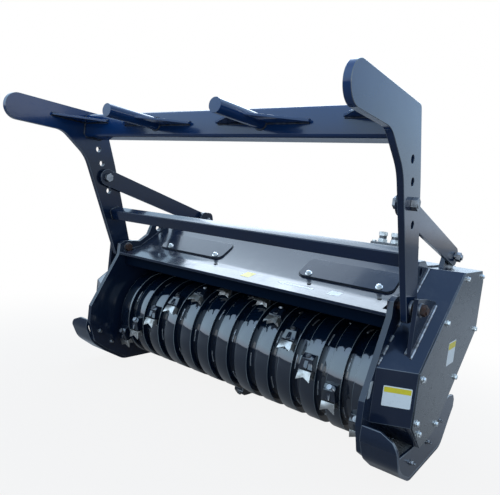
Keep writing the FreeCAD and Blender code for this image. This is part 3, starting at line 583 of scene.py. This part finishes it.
def spread_tree():
    """Copies of one shape on points; each point has a way out and a turn about it."""
    tree = Tree("spread_copies", (("Shape", "Object", None), ("Finish", "Material", None),
                                  ("Size", "Float", 1.0)))
    shape = tree.node("GeometryNodeObjectInfo", None, {"Object": tree.given("Shape")},
                      output="Geometry")
    way = tree.node("GeometryNodeInputNamedAttribute", {"data_type": "FLOAT_VECTOR"},
                    {"Name": "way"})
    spin = tree.node("GeometryNodeInputNamedAttribute", {"data_type": "FLOAT"},
                     {"Name": "spin"})
    rotation = tree.node("FunctionNodeAlignRotationToVector", {"axis": "Z"}, {"Vector": way})
    own = tree.node("FunctionNodeAxisAngleToRotation", None,
                    {"Axis": (0.0, 0.0, 1.0), "Angle": spin})
    turned = tree.node("FunctionNodeRotateRotation", {"rotation_space": "LOCAL"},
                       {"Rotation": rotation, "Rotate By": own})
    copies = tree.node("GeometryNodeInstanceOnPoints", None,
                       {"Points": tree.given("Geometry"), "Instance": shape,
                        "Rotation": turned, "Scale": tree.given("Size")})
    tree.close(copies)
    return tree


def bead_tree():
    """A rippled bead along the mesh's edges."""
    tree = Tree("weld_bead", (("Finish", "Material", None), ("Radius", "Float", 0.003),
                              ("Step", "Float", 0.0022)))
    curve = tree.node("GeometryNodeMeshToCurve", None, {"Mesh": tree.given("Geometry")})
    even = tree.node("GeometryNodeResampleCurve", {"mode": "LENGTH"},
                     {"Curve": curve, "Length": tree.given("Step")})
    index = tree.node("GeometryNodeInputIndex")
    wobble = tree.node("FunctionNodeRandomValue", {"data_type": "FLOAT"},
                       {"Min": 0.72, "Max": 1.12, "ID": index, "Seed": 7}, output=1)
    profile = tree.node("GeometryNodeCurvePrimitiveCircle", None,
                        {"Resolution": 7, "Radius": tree.given("Radius")})
    body = tree.node("GeometryNodeCurveToMesh", None,
                     {"Curve": even, "Profile Curve": profile, "Scale": wobble,
                      "Fill Caps": True})
    tree.close(body)
    return tree


spread = spread_tree()
bead = bead_tree()


def point_mesh(name, spots):
    """A mesh of loose points; each spot is a place, a way out and a turn in degrees."""
    mesh = bpy.data.meshes.new(name)
    mesh.from_pydata([spot[0] for spot in spots], [], [])
    mesh.attributes.new("way", "FLOAT_VECTOR", "POINT")
    mesh.attributes.new("spin", "FLOAT", "POINT")
    for i, (place, out, degrees) in enumerate(spots):
        mesh.attributes["way"].data[i].vector = Vector(out).normalized()
        mesh.attributes["spin"].data[i].value = math.radians(degrees)
    return mesh


def copies(name, shape, spots, material, body, size=1.0, slot=None, replaced=()):
    piece = spread.run(name, point_mesh(name, spots),
                       {"Shape": shape, "Finish": material, "Size": size})
    piece.data.shade_smooth()
    piece.data.set_sharp_from_angle(angle=math.radians(32))
    return on_body(piece, body, replaced)


def beads(name, lines, material, body, radius=3 * MM, step=2.2 * MM):
    """Weld beads along several lines of points."""
    verts = []
    edges = []
    for line in lines:
        start = len(verts)
        verts.extend(line)
        edges.extend((start + i, start + i + 1) for i in range(len(line) - 1))
    mesh = bpy.data.meshes.new(name)
    mesh.from_pydata(verts, edges, [])
    piece = bead.run(name, mesh, {"Finish": material, "Radius": radius, "Step": step})
    piece.data.shade_smooth()
    return on_body(piece, body)


def pattern(name, bm, width=0.0):
    """A shape that only serves as the pattern of copies."""
    shape = piece_from(name, bm)
    if width:
        eased(shape, width, 1)
    scene.collection.objects.unlink(shape)
    return shape


def hexagon_bolt(name, across, head, washer, washer_r, stud=0.0, stud_r=0.0):
    """A hexagonal head with chamfered corners on a washer, standing on Z = 0."""
    bm = bmesh.new()
    disc = ring_points(20, washer_r)
    prism(bm, disc, lambda a, b: (a, b, 0), lambda a, b: (a, b, washer))
    corner_r = across / math.sqrt(3)
    shoulder = washer + head * 0.82
    outline = ring_points(6, corner_r)
    prism(bm, outline, lambda a, b: (a, b, washer * 0.9), lambda a, b: (a, b, shoulder))
    prism(bm, outline, lambda a, b: (a, b, shoulder - 0.0001),
          lambda a, b: (a * 0.86, b * 0.86, washer + head))
    if stud:
        prism(bm, ring_points(12, stud_r), lambda a, b: (a, b, washer + head * 0.9),
              lambda a, b: (a, b, washer + head + stud))
    return pattern(name, bm, 0.0005)


# The housing, push frame and braces in the frame's own shapes

NODE_FINISHES = (
    ("side_plate_", housing_paint, "housing_paint", 2.0, edge_highlight_and_wear),
    ("hood", housing_paint, "housing_paint", 1.5, edge_highlight_and_wear),
    ("rear_wall", housing_paint, "housing_paint", 1.5, None),
    # the anvil bar gets the painted shade enamel, not the housing's own colour
    ("anvil_bar", painted_shade_paint, "housing_paint", 1.5, None),
    ("hatch_", housing_paint, "housing_paint", 1.2, None),
    ("side_cover_", cover_paint, "cover_paint", 1.5, edge_highlight_and_wear),
    ("pivot_ear_", cover_paint, "cover_paint", 1.5, edge_highlight_and_wear),
    ("pivot_pin_", rust, "bare_steel", 1.5, None),
    ("bearing_", iron, "bearing_iron", 1.5, None),
    ("push_arm_", frame_paint, "frame_paint", 2.0, edge_highlight_and_wear),
    ("top_beam", frame_paint, "frame_paint", 1.0, None),
    ("lower_bar", frame_paint, "frame_paint", 1.0, None),
    ("pipe_horn_", frame_paint, "frame_paint", 1.0, None),
    ("beam_gussets", frame_paint, "frame_paint", 1.0, edge_highlight_and_wear),
    ("brace_pin_", dull_zinc, "bolt_zinc", 1.2, None),
    ("brace_bolt_", dull_zinc, "bolt_zinc", 1.2, None),
    ("brace_nut_", dull_zinc, "bolt_zinc", 1.2, None),
    ("brace_", frame_paint, "frame_paint", 1.5, edge_highlight_and_wear),
    ("adapter_", housing_paint, "housing_paint", 1.5, edge_highlight_and_wear),
    ("manifold", iron, "bare_steel", 1.5, None),
)
REBUILT = {"rotor_drum": rotor_paint, "tooth_holders": holder_paint, "rotor_teeth": tooth_steel,
           "cover_lid_left": lid_paint, "cover_lid_right": lid_paint,
           "skid_left": housing_paint, "skid_right": housing_paint}

for node in sorted(frame["nodes"]):
    if node in REBUILT:
        node_mesh = frame["nodes"][node].data
        node_mesh.materials.clear()
        node_mesh.materials.append(REBUILT[node])
        continue
    for start, material, slot, width, edge in NODE_FINISHES:
        if node.startswith(start):
            dressed(node, material, width * MM, edge)
            break
    else:
        raise RuntimeError(f"no finish for {node}")


# Skids: a sole that curves up to the nose, and an upright outer web

SIDE_FACE = 715 * MM
SKID_LINE = ((-232, 238, 0), (-238, 200, 60), (-195, 120, 110), (-109, 62, 160), (13, 0, 110),
             (393, 0, 90), (478, 88, 90), (531, 135, 0))
WEB_LINE = ((-150, 132, 20), (-107, 70, 60), (13, 7, 110), (393, 7, 90), (473, 96, 40),
            (531, 130, 14), (531, 165, 14), (505, 190, 20), (440, 201, 20), (258, 197, 20),
            (163, 134, 20), (10, 122, 30))


def rounded_line(corners, closed=False, steps=9):
    """Points in metres through corners of (a, b, radius) in millimetres."""
    points = []
    count = len(corners)
    for i, (a, b, radius) in enumerate(corners):
        here = Vector((a, b)) * MM
        if radius == 0 or (not closed and i in (0, count - 1)):
            points.append(here)
            continue
        before = Vector(corners[i - 1][:2]) * MM
        after = Vector(corners[(i + 1) % count][:2]) * MM
        way_in = (before - here)
        way_out = (after - here)
        half_angle = way_in.angle(way_out) / 2
        reach = min(radius * MM / math.tan(half_angle), way_in.length * 0.49,
                    way_out.length * 0.49)
        start, end = here + way_in.normalized() * reach, here + way_out.normalized() * reach
        for k in range(steps + 1):
            t = k / steps
            points.append(start * (1 - t) ** 2 + here * 2 * t * (1 - t) + end * t ** 2)
    return points


def inset_line(points, thickness):
    """The same line moved to the left of its direction by the thickness."""
    moved = []
    for i, point in enumerate(points):
        ahead = points[min(i + 1, len(points) - 1)] - points[max(i - 1, 0)]
        normal = Vector((-ahead.y, ahead.x)).normalized()
        moved.append(point + normal * thickness)
    return moved


SKID_WIDTH, NOSE_FLARE, SKID_SHEET, NOSE_CORNER, NOSE_TOP = sizes_of(101, 22, 14, 62, 238)
INNER_WEB_LINE = ((-190, 128, 0), (-107, 66, 60), (13, 7, 110), (393, 7, 90), (473, 92, 30),
                  (455, 122, 12), (390, 104, 12), (20, 96, 30), (-60, 118, 30), (-150, 170, 12))
for side, word in SIDES:
    bm = bmesh.new()
    outer_line = rounded_line(SKID_LINE)
    inner_line = inset_line(outer_line, SKID_SHEET)
    loops = []
    for outside, inside in zip(outer_line, inner_line):
        over = max(0.0, outside.y - (NOSE_TOP - NOSE_CORNER))
        over = min(over, NOSE_CORNER)
        cut_in = 0.0
        if outside.x < 0 and over > 0:
            cut_in = NOSE_CORNER - math.sqrt(max(NOSE_CORNER ** 2 - over ** 2, 0.0))
        flare = NOSE_FLARE * min(1.0, max(0.0, (0.013 - outside.x) / 0.22)) ** 1.5
        near = side * (SIDE_FACE + 0.0005)
        far = side * (SIDE_FACE + SKID_WIDTH + flare - cut_in)
        loops.append([bm.verts.new((x, spot.x, spot.y)) for x, spot in (
            (near, outside), (far, outside), (far, inside), (near, inside))])
    for first, second in zip(loops[:-1], loops[1:]):
        for i in range(4):
            j = (i + 1) % 4
            bm.faces.new((first[i], first[j], second[j], second[i]))
    bm.faces.new(loops[0])
    bm.faces.new(loops[-1])
    web_near, web_far = sizes_of(804.5, 815)
    prism(bm, rounded_line(WEB_LINE, closed=True, steps=6),
          lambda a, b: (side * web_near, a, b), lambda a, b: (side * web_far, a, b))
    inner_near, inner_far = sizes_of(716, 724)
    prism(bm, rounded_line(INNER_WEB_LINE, closed=True, steps=6),
          lambda a, b: (side * inner_near, a, b), lambda a, b: (side * inner_far, a, b))
    skid = piece_from(f"skid_{word}_bent", bm, housing_paint, edge_highlight_and_wear)
    eased(skid, 2.5 * MM, 3, 1)
    on_body(skid, "housing", (f"skid_{word}",))


# Side cover lids, their screws and the other screws of the housing

LID_LINE = ((-108, 410, 3), (307, 720, 3), (598, 720, 3), (643, 675, 3), (643, 459, 3),
            (163, 139, 3), (10, 128, 3), (-108, 230, 3))
LID_SCREWS = ((340, 694), (600, 695), (128, 546), (612, 466), (-76, 386), (-76, 240),
              (372, 302), (-34, 192), (172, 168))
LID_NEAR, LID_FAR = sizes_of(830, 836)

for side, word in SIDES:
    bm = bmesh.new()
    prism(bm, rounded_line(LID_LINE, closed=True, steps=3),
          lambda a, b: (side * LID_NEAR, a, b), lambda a, b: (side * LID_FAR, a, b))
    lid = piece_from(f"cover_lid_{word}_sheet", bm, lid_paint, edge_highlight_and_wear)
    eased(lid, 1.2 * MM, 2, 1)
    on_body(lid, "housing", (f"cover_lid_{word}",))

small_screw = hexagon_bolt("small_screw", 17 * MM, 8 * MM, 2 * MM, 12.5 * MM)
hatch_screw = hexagon_bolt("hatch_screw", 18 * MM, 9 * MM, 2.5 * MM, 14 * MM, 3 * MM, 5 * MM)
stud_screw = hexagon_bolt("stud_screw", 15 * MM, 8 * MM, 2 * MM, 10 * MM, 9 * MM, 5 * MM)
SLOPE = math.atan2(115, 177)
HATCH_SCREW_RUN, HATCH_SHEET = 42, 6


def on_slope(x, run, rise=0.0):
    """A place on the hood's slope: run up from its fold and rise off the sheet, in mm."""
    return (x * MM, (31 + run * math.cos(SLOPE) - rise * math.sin(SLOPE)) * MM,
            (605 + run * math.sin(SLOPE) + rise * math.cos(SLOPE)) * MM)


slope_way = (0.0, -math.sin(SLOPE), math.cos(SLOPE))
lid_spots = [((side * LID_FAR, y * MM, z * MM), (side, 0, 0), 17.0 * i)
             for side, word in SIDES for i, (y, z) in enumerate(LID_SCREWS)]
copies("lid_screws", small_screw, lid_spots, zinc, "housing", slot="bolt_zinc")
hatch_spots = [(on_slope(x, HATCH_SCREW_RUN, HATCH_SHEET), slope_way, 23.0 * i)
               for i, x in enumerate((-501, -205, 299, 598))]
copies("hatch_screws", hatch_screw, hatch_spots, zinc, "housing", slot="bolt_zinc")
web_spots = [((side * 815 * MM, y * MM, z * MM), (side, 0, 0), 11.0 * i)
             for side, word in SIDES for i, (y, z) in enumerate(((296, 139), (177, 90), (2, 73)))]
web_spots += [((side * 695 * MM, y * MM, z * MM), (-side, 0, 0), 31.0 * i)
              for side, word in SIDES for i, (y, z) in enumerate(((-172, 181), (-95, 117)))]
copies("web_screws", stud_screw, web_spots, dull_zinc, "housing", slot="bolt_zinc")


# The rotor: drum, ribs, tooth holders, teeth and their bolts

ROTOR_Y, ROTOR_Z = sizes_of(145, 265)
DRUM_R, RIB_R, DRUM_END = sizes_of(186, 215, 689)
RIB_WIDTH, RIB_PITCH, RIB_COUNT = 62 * MM, 106 * MM, 13
SPIRAL_STEP = 20
TURN_STEPS = 144
MIDDLE_RIB = (RIB_COUNT - 1) / 2
RIB_PLACES = [(i - MIDDLE_RIB) * RIB_PITCH for i in range(RIB_COUNT)]

bm = bmesh.new()
lathe(bm, [(-DRUM_END, 0.04), (-DRUM_END, DRUM_R - 0.003), (-DRUM_END + 0.003, DRUM_R),
           (DRUM_END - 0.003, DRUM_R), (DRUM_END, DRUM_R - 0.003), (DRUM_END, 0.04)],
      ROTOR_Y, ROTOR_Z, TURN_STEPS)
for side in (-1, 1):
    ends = lathe(bm, [(side * DRUM_END, 0.0395), (side * 0.7615, 0.0395), (side * 0.763, 0.038)],
                 ROTOR_Y, ROTOR_Z, 48)
    bm.faces.new(ends[-1])
drum = piece_from("rotor_drum_turned", bm, rotor_paint)
on_body(drum, "rotor", ("rotor_drum",))

bm = bmesh.new()
half_rib = RIB_WIDTH / 2
ease = 2.2 * MM
for x in RIB_PLACES:
    for way in (-1, 1):
        flank = x + way * half_rib
        lathe(bm, [(flank, DRUM_R - 0.001), (flank, RIB_R - ease)], ROTOR_Y, ROTOR_Z, TURN_STEPS)
        # the rounded rim of each flank takes the second material: the painted rim highlight with
        # chips
        lathe(bm, [(flank, RIB_R - ease), (flank - way * ease * 0.3, RIB_R - ease * 0.3),
                   (flank - way * ease, RIB_R)], ROTOR_Y, ROTOR_Z, TURN_STEPS, 1)
    lathe(bm, [(x - half_rib + ease, RIB_R), (x + half_rib - ease, RIB_R)],
          ROTOR_Y, ROTOR_Z, TURN_STEPS)
bmesh.ops.remove_doubles(bm, verts=bm.verts, dist=0.00001)
ribs = piece_from("rotor_ribs", bm, rotor_paint, rim_highlight_and_wear)
on_body(ribs, "rotor")

HALF_TOOTH, TOP_R, TIP_R = sizes_of(30, 246, 255)
LEAD, HOLDER_BACK, TIP_REACH, NOTCH = sizes_of(-10, 52, 50, 15)


def rotor_axes(bm):
    """Turn a pattern drawn at the rotor's top to the axes that the copies use."""
    rotation = Vector((0, 0, 1)).rotation_difference(Vector((1, 0, 0))).inverted()
    bmesh.ops.transform(bm, matrix=rotation.to_matrix().to_4x4(), verts=bm.verts)
    return bm


def round_rotor(name, shape, material, slot, replaced=()):
    """A pattern made at the rotor's top, copied to the place of each of the teeth."""
    spots = [((x, ROTOR_Y, ROTOR_Z), (1, 0, 0), SPIRAL_STEP * abs(i - MIDDLE_RIB) + half_turn)
             for i, x in enumerate(RIB_PLACES) for half_turn in (0, 180)]
    return copies(name, shape, spots, material, "rotor", slot=slot, replaced=replaced)


# A holder narrows to its back, and its shoulders stand beside the tooth's foot
bm = bmesh.new()
side_line = [(LEAD, RIB_R - 0.004), (HOLDER_BACK, RIB_R - 0.010), (HOLDER_BACK, RIB_R + 0.012),
             (HOLDER_BACK - 0.018, TOP_R), (LEAD + 0.006, TOP_R), (LEAD, TOP_R - 0.006)]
taper = {True: 0.82, False: 1.0}
prism(bm, side_line, lambda a, b: (-HALF_TOOTH * taper[a > 0.02], a, b),
      lambda a, b: (HALF_TOOTH * taper[a > 0.02], a, b))
rib_x = 9 * MM
prism(bm, [(LEAD + 0.004, TOP_R - 0.001), (HOLDER_BACK - 0.022, TOP_R - 0.001),
           (LEAD + 0.010, TOP_R + 0.007)],
      lambda a, b: (-rib_x, a, b), lambda a, b: (rib_x, a, b))
holder_shape = pattern("holder_pattern", rotor_axes(bm), 2 * MM)
round_rotor("tooth_holders_forged", holder_shape, holder_paint, "rotor_paint",
            ("tooth_holders",))

# A tooth is a square block whose dished front face runs out to four points
tip_height = math.sqrt(TIP_R ** 2 - TIP_REACH ** 2)
FOOT_R = RIB_R + 4 * MM
bm = bmesh.new()
rear = [bm.verts.new((x, LEAD, z)) for x, z in (
    (-HALF_TOOTH * 0.86, FOOT_R + 0.002), (HALF_TOOTH * 0.86, FOOT_R + 0.002),
    (HALF_TOOTH * 0.86, TOP_R + 0.001), (-HALF_TOOTH * 0.86, TOP_R + 0.001))]
middle_z = (FOOT_R + tip_height) / 2
front = [(-HALF_TOOTH, -TIP_REACH + 0.010, FOOT_R),
         (0, -TIP_REACH + NOTCH + 0.008, FOOT_R + 0.004),
         (HALF_TOOTH, -TIP_REACH + 0.010, FOOT_R),
         (HALF_TOOTH - 0.005, -TIP_REACH + NOTCH + 0.006, middle_z),
         (HALF_TOOTH, -TIP_REACH, tip_height), (0, -TIP_REACH + NOTCH, tip_height - 0.002),
         (-HALF_TOOTH, -TIP_REACH, tip_height),
         (-HALF_TOOTH + 0.005, -TIP_REACH + NOTCH + 0.006, middle_z)]
front = [bm.verts.new(spot) for spot in front]
dish = bm.verts.new((0, -TIP_REACH + NOTCH + 0.012, middle_z))
for i in range(8):
    bm.faces.new((front[i], front[(i + 1) % 8], dish))
for i in range(4):
    a, b = rear[i], rear[(i + 1) % 4]
    p, q, r = front[2 * i], front[2 * i + 1], front[(2 * i + 2) % 8]
    bm.faces.new((a, p, q))
    bm.faces.new((a, q, b))
    bm.faces.new((b, q, r))
bm.faces.new(rear)
tooth_shape = pattern("tooth_pattern", rotor_axes(bm), 0.8 * MM)
round_rotor("rotor_teeth_ground", tooth_shape, tooth_steel, "tooth_steel", ("rotor_teeth",))

# A tooth's bolt comes through the holder's sloping back: a ring with a dark socket
bm = bmesh.new()
head_turn = Vector((0, 0, 1)).rotation_difference(Vector((0, 19, 18)).normalized())
head_spot = Vector((0, HOLDER_BACK - 0.009, (RIB_R + 0.012 + TOP_R) / 2))
outline = ring_points(18, 10 * MM)
rim = 6.5 * MM
prism(bm, outline, lambda a, b: (a, b, -0.006), lambda a, b: (a, b, rim - 0.001))
top_ring = [bm.verts.new((a * 0.93, b * 0.93, rim)) for a, b in outline]
well_ring = [bm.verts.new((a * 0.55, b * 0.55, rim)) for a, b in outline]
deep_ring = [bm.verts.new((a * 0.5, b * 0.5, rim - 0.005)) for a, b in outline]
for i in range(18):
    j = (i + 1) % 18
    bm.faces.new((top_ring[i], top_ring[j], well_ring[j], well_ring[i]))
    bm.faces.new((well_ring[i], well_ring[j], deep_ring[j], deep_ring[i]))
bm.faces.new(deep_ring)
bmesh.ops.rotate(bm, verts=bm.verts, matrix=head_turn.to_matrix())
bmesh.ops.translate(bm, verts=bm.verts, vec=head_spot)
bolt_shape = pattern("tooth_bolt_pattern", rotor_axes(bm))
round_rotor("tooth_bolts", bolt_shape, dull_zinc, "tooth_steel")

STITCH_COUNT = 6
STITCH_ARC = math.radians(17)
STITCH_SHIFT = 0.37      # share of the spacing by which each rib's runs are ahead of the last's
STITCH_R = DRUM_R + 1.2 * MM
stitches = []
for i, x in enumerate(RIB_PLACES):
    flank = x + half_rib + 1.5 * MM
    for k in range(STITCH_COUNT):
        start = 2 * math.pi * (k + STITCH_SHIFT * i + 0.35) / STITCH_COUNT
        angles = [start + STITCH_ARC * step / 8 for step in range(9)]
        stitches.append([(flank, ROTOR_Y + STITCH_R * math.cos(angle),
                          ROTOR_Z + STITCH_R * math.sin(angle)) for angle in angles])
beads("rib_stitches", stitches, weld, "rotor", 2.2 * MM)


# Welds of the housing and of the push frame

def line_of(*corners):
    return [Vector(corner) * MM for corner in corners]


ARM_LEAN = math.radians(23.1)
BAR_SEAM = ((-18, -27), (18, -27), (27, -18), (27, 18), (18, 27), (-18, 27), (-27, 18),
            (-27, -18), (-18, -27))
cover_welds = []
ear_welds = []
hood_welds = []
frame_welds = []
gusset_welds = []
for side, word in SIDES:
    inner_edge = side * 716.5
    for start, end in ((-165, -140), (-128, -96), (-80, -58), (-20, 40), (62, 236)):
        cover_welds.append(line_of(*[(inner_edge, y, 412 + (y + 172) * 0.747)
                                     for y in (start, end)]))
    outer_x = side * 792
    ear_welds.append(line_of((outer_x, -86, 444), (outer_x, 122, 600)))
    inner_x = side * 773
    ear_welds.append(line_of((inner_x, -86, 456), (inner_x, 122, 612)))
    hood_x = side * 693
    hood_welds.append(line_of((hood_x, -78, 580), (hood_x, 31, 607), (hood_x, 207, 722),
                              (hood_x, 640, 722)))
    arm_x = side * 737
    frame_welds.append(line_of(*[(arm_x, y, z) for y, z in (
        (-315, 1103), (-239, 1103), (-225, 1117), (-225, 1193), (-239, 1207), (-315, 1207),
        (-329, 1193), (-329, 1117), (-315, 1103))]))
    frame_welds.append(line_of(*[(arm_x, -112 + a * math.cos(ARM_LEAN) - b * math.sin(ARM_LEAN),
                                  765 + a * math.sin(ARM_LEAN) + b * math.cos(ARM_LEAN))
                                 for a, b in BAR_SEAM]))
    pipe_x = side * 260
    frame_welds.append([Vector((pipe_x + a, -328.5, 1155 + b)) * MM
                        for a, b in ring_points(24, 25.5) + [(25.5, 0)]])
    for way in (-1, 1):
        for rise in (-5.5, 5.5):
            near, far = pipe_x + way * 26, pipe_x + way * 190
            gusset_welds.append(line_of((near, -329, 1155 + rise), (far, -329, 1155 + rise)))
    for rise in (8.5, 19.5):
        gusset_welds.append(line_of((side * 569, -329, 1155 + rise),
                                    (side * 736, -329, 1155 + rise),
                                    (side * 737, -496, 1155 + rise)))
beads("cover_welds", cover_welds, weld, "housing", 3.6 * MM)
beads("ear_welds", ear_welds, weld, "housing", 4.2 * MM)
beads("hood_welds", hood_welds, dark_weld, "housing", 4.0 * MM)
beads("frame_welds", frame_welds, dark_weld, "push_frame", 4.2 * MM)
beads("gusset_welds", gusset_welds, dark_weld, "push_frame", 3.4 * MM)


# Blank labels, pads and strips

def film(name, centre, across, upward, outline, rise, material, body="housing"):
    """A thin film with this outline in millimetres, laid on a face of the object."""
    across = Vector(across).normalized()
    upward = Vector(upward).normalized()
    out = across.cross(upward).normalized()
    centre = Vector(centre) * MM
    bm = bmesh.new()
    prism(bm, outline, lambda a, b: centre + across * a + upward * b - out * 0.0002,
          lambda a, b: centre + across * a + upward * b + out * rise * MM)
    return on_body(piece_from(name, bm, material), body)


def card(width, height, radius, lift=0.0):
    """A rectangle with round corners round a middle that lift moves up."""
    a, b = width / 2, height / 2
    return rounded_line(((-a, lift - b, radius), (a, lift - b, radius), (a, lift + b, radius),
                         (-a, lift + b, radius)), closed=True, steps=5)


for side, word in SIDES:
    front_spot = (side * 781, -135.3, 324)
    along = Vector((115, side * 64, 0)).normalized()
    film(f"front_label_{word}", front_spot, along, (0, 0, 1), card(90, 66, 4), 0.5, label_white)
    film(f"front_label_band_{word}", front_spot, along, (0, 0, 1), card(85, 17, 2, 21), 0.8,
         label_yellow)
    lid_spot = (side * 836, 252, 420)
    film(f"lid_label_{word}", lid_spot, (0, side, 0), (0, 0, 1), card(100, 88, 4), 0.5,
         label_white)
    film(f"lid_label_band_{word}", lid_spot, (0, side, 0), (0, 0, 1), card(95, 24, 2, 28), 0.8,
         label_yellow)
film("edge_plate_right", (715.2, -200, 342), (0, 1, 0), (0, 0.25, 1), card(20, 54, 4), 1.0,
     label_grey)

LIP = math.atan2(31, 128)
lip_up = (0, math.cos(LIP), math.sin(LIP))


def on_lip(x, y):
    return (x, y, 605 + (y - 31) * math.tan(LIP))


film("lip_card_yellow", on_lip(66, -30), (1, 0, 0), lip_up, card(46, 56, 4), 0.5, label_yellow)
film("lip_card_white", on_lip(470, -30), (1, 0, 0), lip_up, card(46, 40, 4), 0.5, label_white)
arrow = [(-80 * MM, 0), (-48 * MM, -17 * MM), (-48 * MM, -6 * MM), (80 * MM, -6 * MM),
         (80 * MM, 6 * MM), (-48 * MM, 6 * MM), (-48 * MM, 17 * MM)]
film("lip_arrow", on_lip(300, -34), (1, 0, 0), lip_up, arrow, 0.5, label_white)
for i, x in enumerate((-149, 337, 626)):
    film(f"lip_pad_{i}", on_lip(x, 8), (1, 0, 0), lip_up, card(13, 13, 2), 3.0, pad_rubber_and_painted_shade)
# Painted shade: a dark strip under each hatch, a little larger than it, so that a black line
# shows round its edge where only the hatch's own shadow falls
for word, middle in (("left", -365), ("right", 453)):
    spot = [value / MM for value in on_slope(middle, 85, 0)]
    film(f"hatch_gasket_{word}", spot, (1, 0, 0), (0, math.cos(SLOPE), math.sin(SLOPE)),
         card(406, 126, 33), 2.0, pad_rubber_and_painted_shade)

# Washers round the pivot pins, and capped collars on the manifold's port stubs
PIVOT_Y, PIVOT_Z, PIN_R = sizes_of(-47, 600, 13)
bm = bmesh.new()
for side, word in SIDES:
    for x, radius, thick in ((790, 24, 3.5), (761, 26, 4), (739, 26, -4), (695, 24, -3.5)):
        near = side * x * MM
        far = near + side * thick * MM
        lathe(bm, [(near, PIN_R), (near, radius * MM), (far, radius * MM), (far, PIN_R)],
              PIVOT_Y, PIVOT_Z, 28)
washers = piece_from("pivot_washers", bm, dull_zinc)
on_body(washers, "housing")

bm = bmesh.new()
for x in (465, 520, 575):
    for low, high, radius, sides in ((790, 802, 21, 6), (802, 806, 17.5, 24), (818, 834, 20, 6),
                                     (834, 835, 16, 6)):
        outline = ring_points(sides, radius * MM)
        prism(bm, outline, lambda a, b: (x * MM + a, 0.375 + b, low * MM),
              lambda a, b: (x * MM + a, 0.375 + b, high * MM))
for x in (442, 598):
    for y in (342, 408):
        outline = ring_points(16, 9 * MM)
        prism(bm, outline, lambda a, b: (x * MM + a, y * MM + b, 0.789),
              lambda a, b: (x * MM + a, y * MM + b, 0.797))
collars = piece_from("manifold_collars", bm, zinc)
eased(collars, 0.8 * MM, 2)
on_body(collars, "housing")

# The box round all shown pieces, leaving out the floor
low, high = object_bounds()
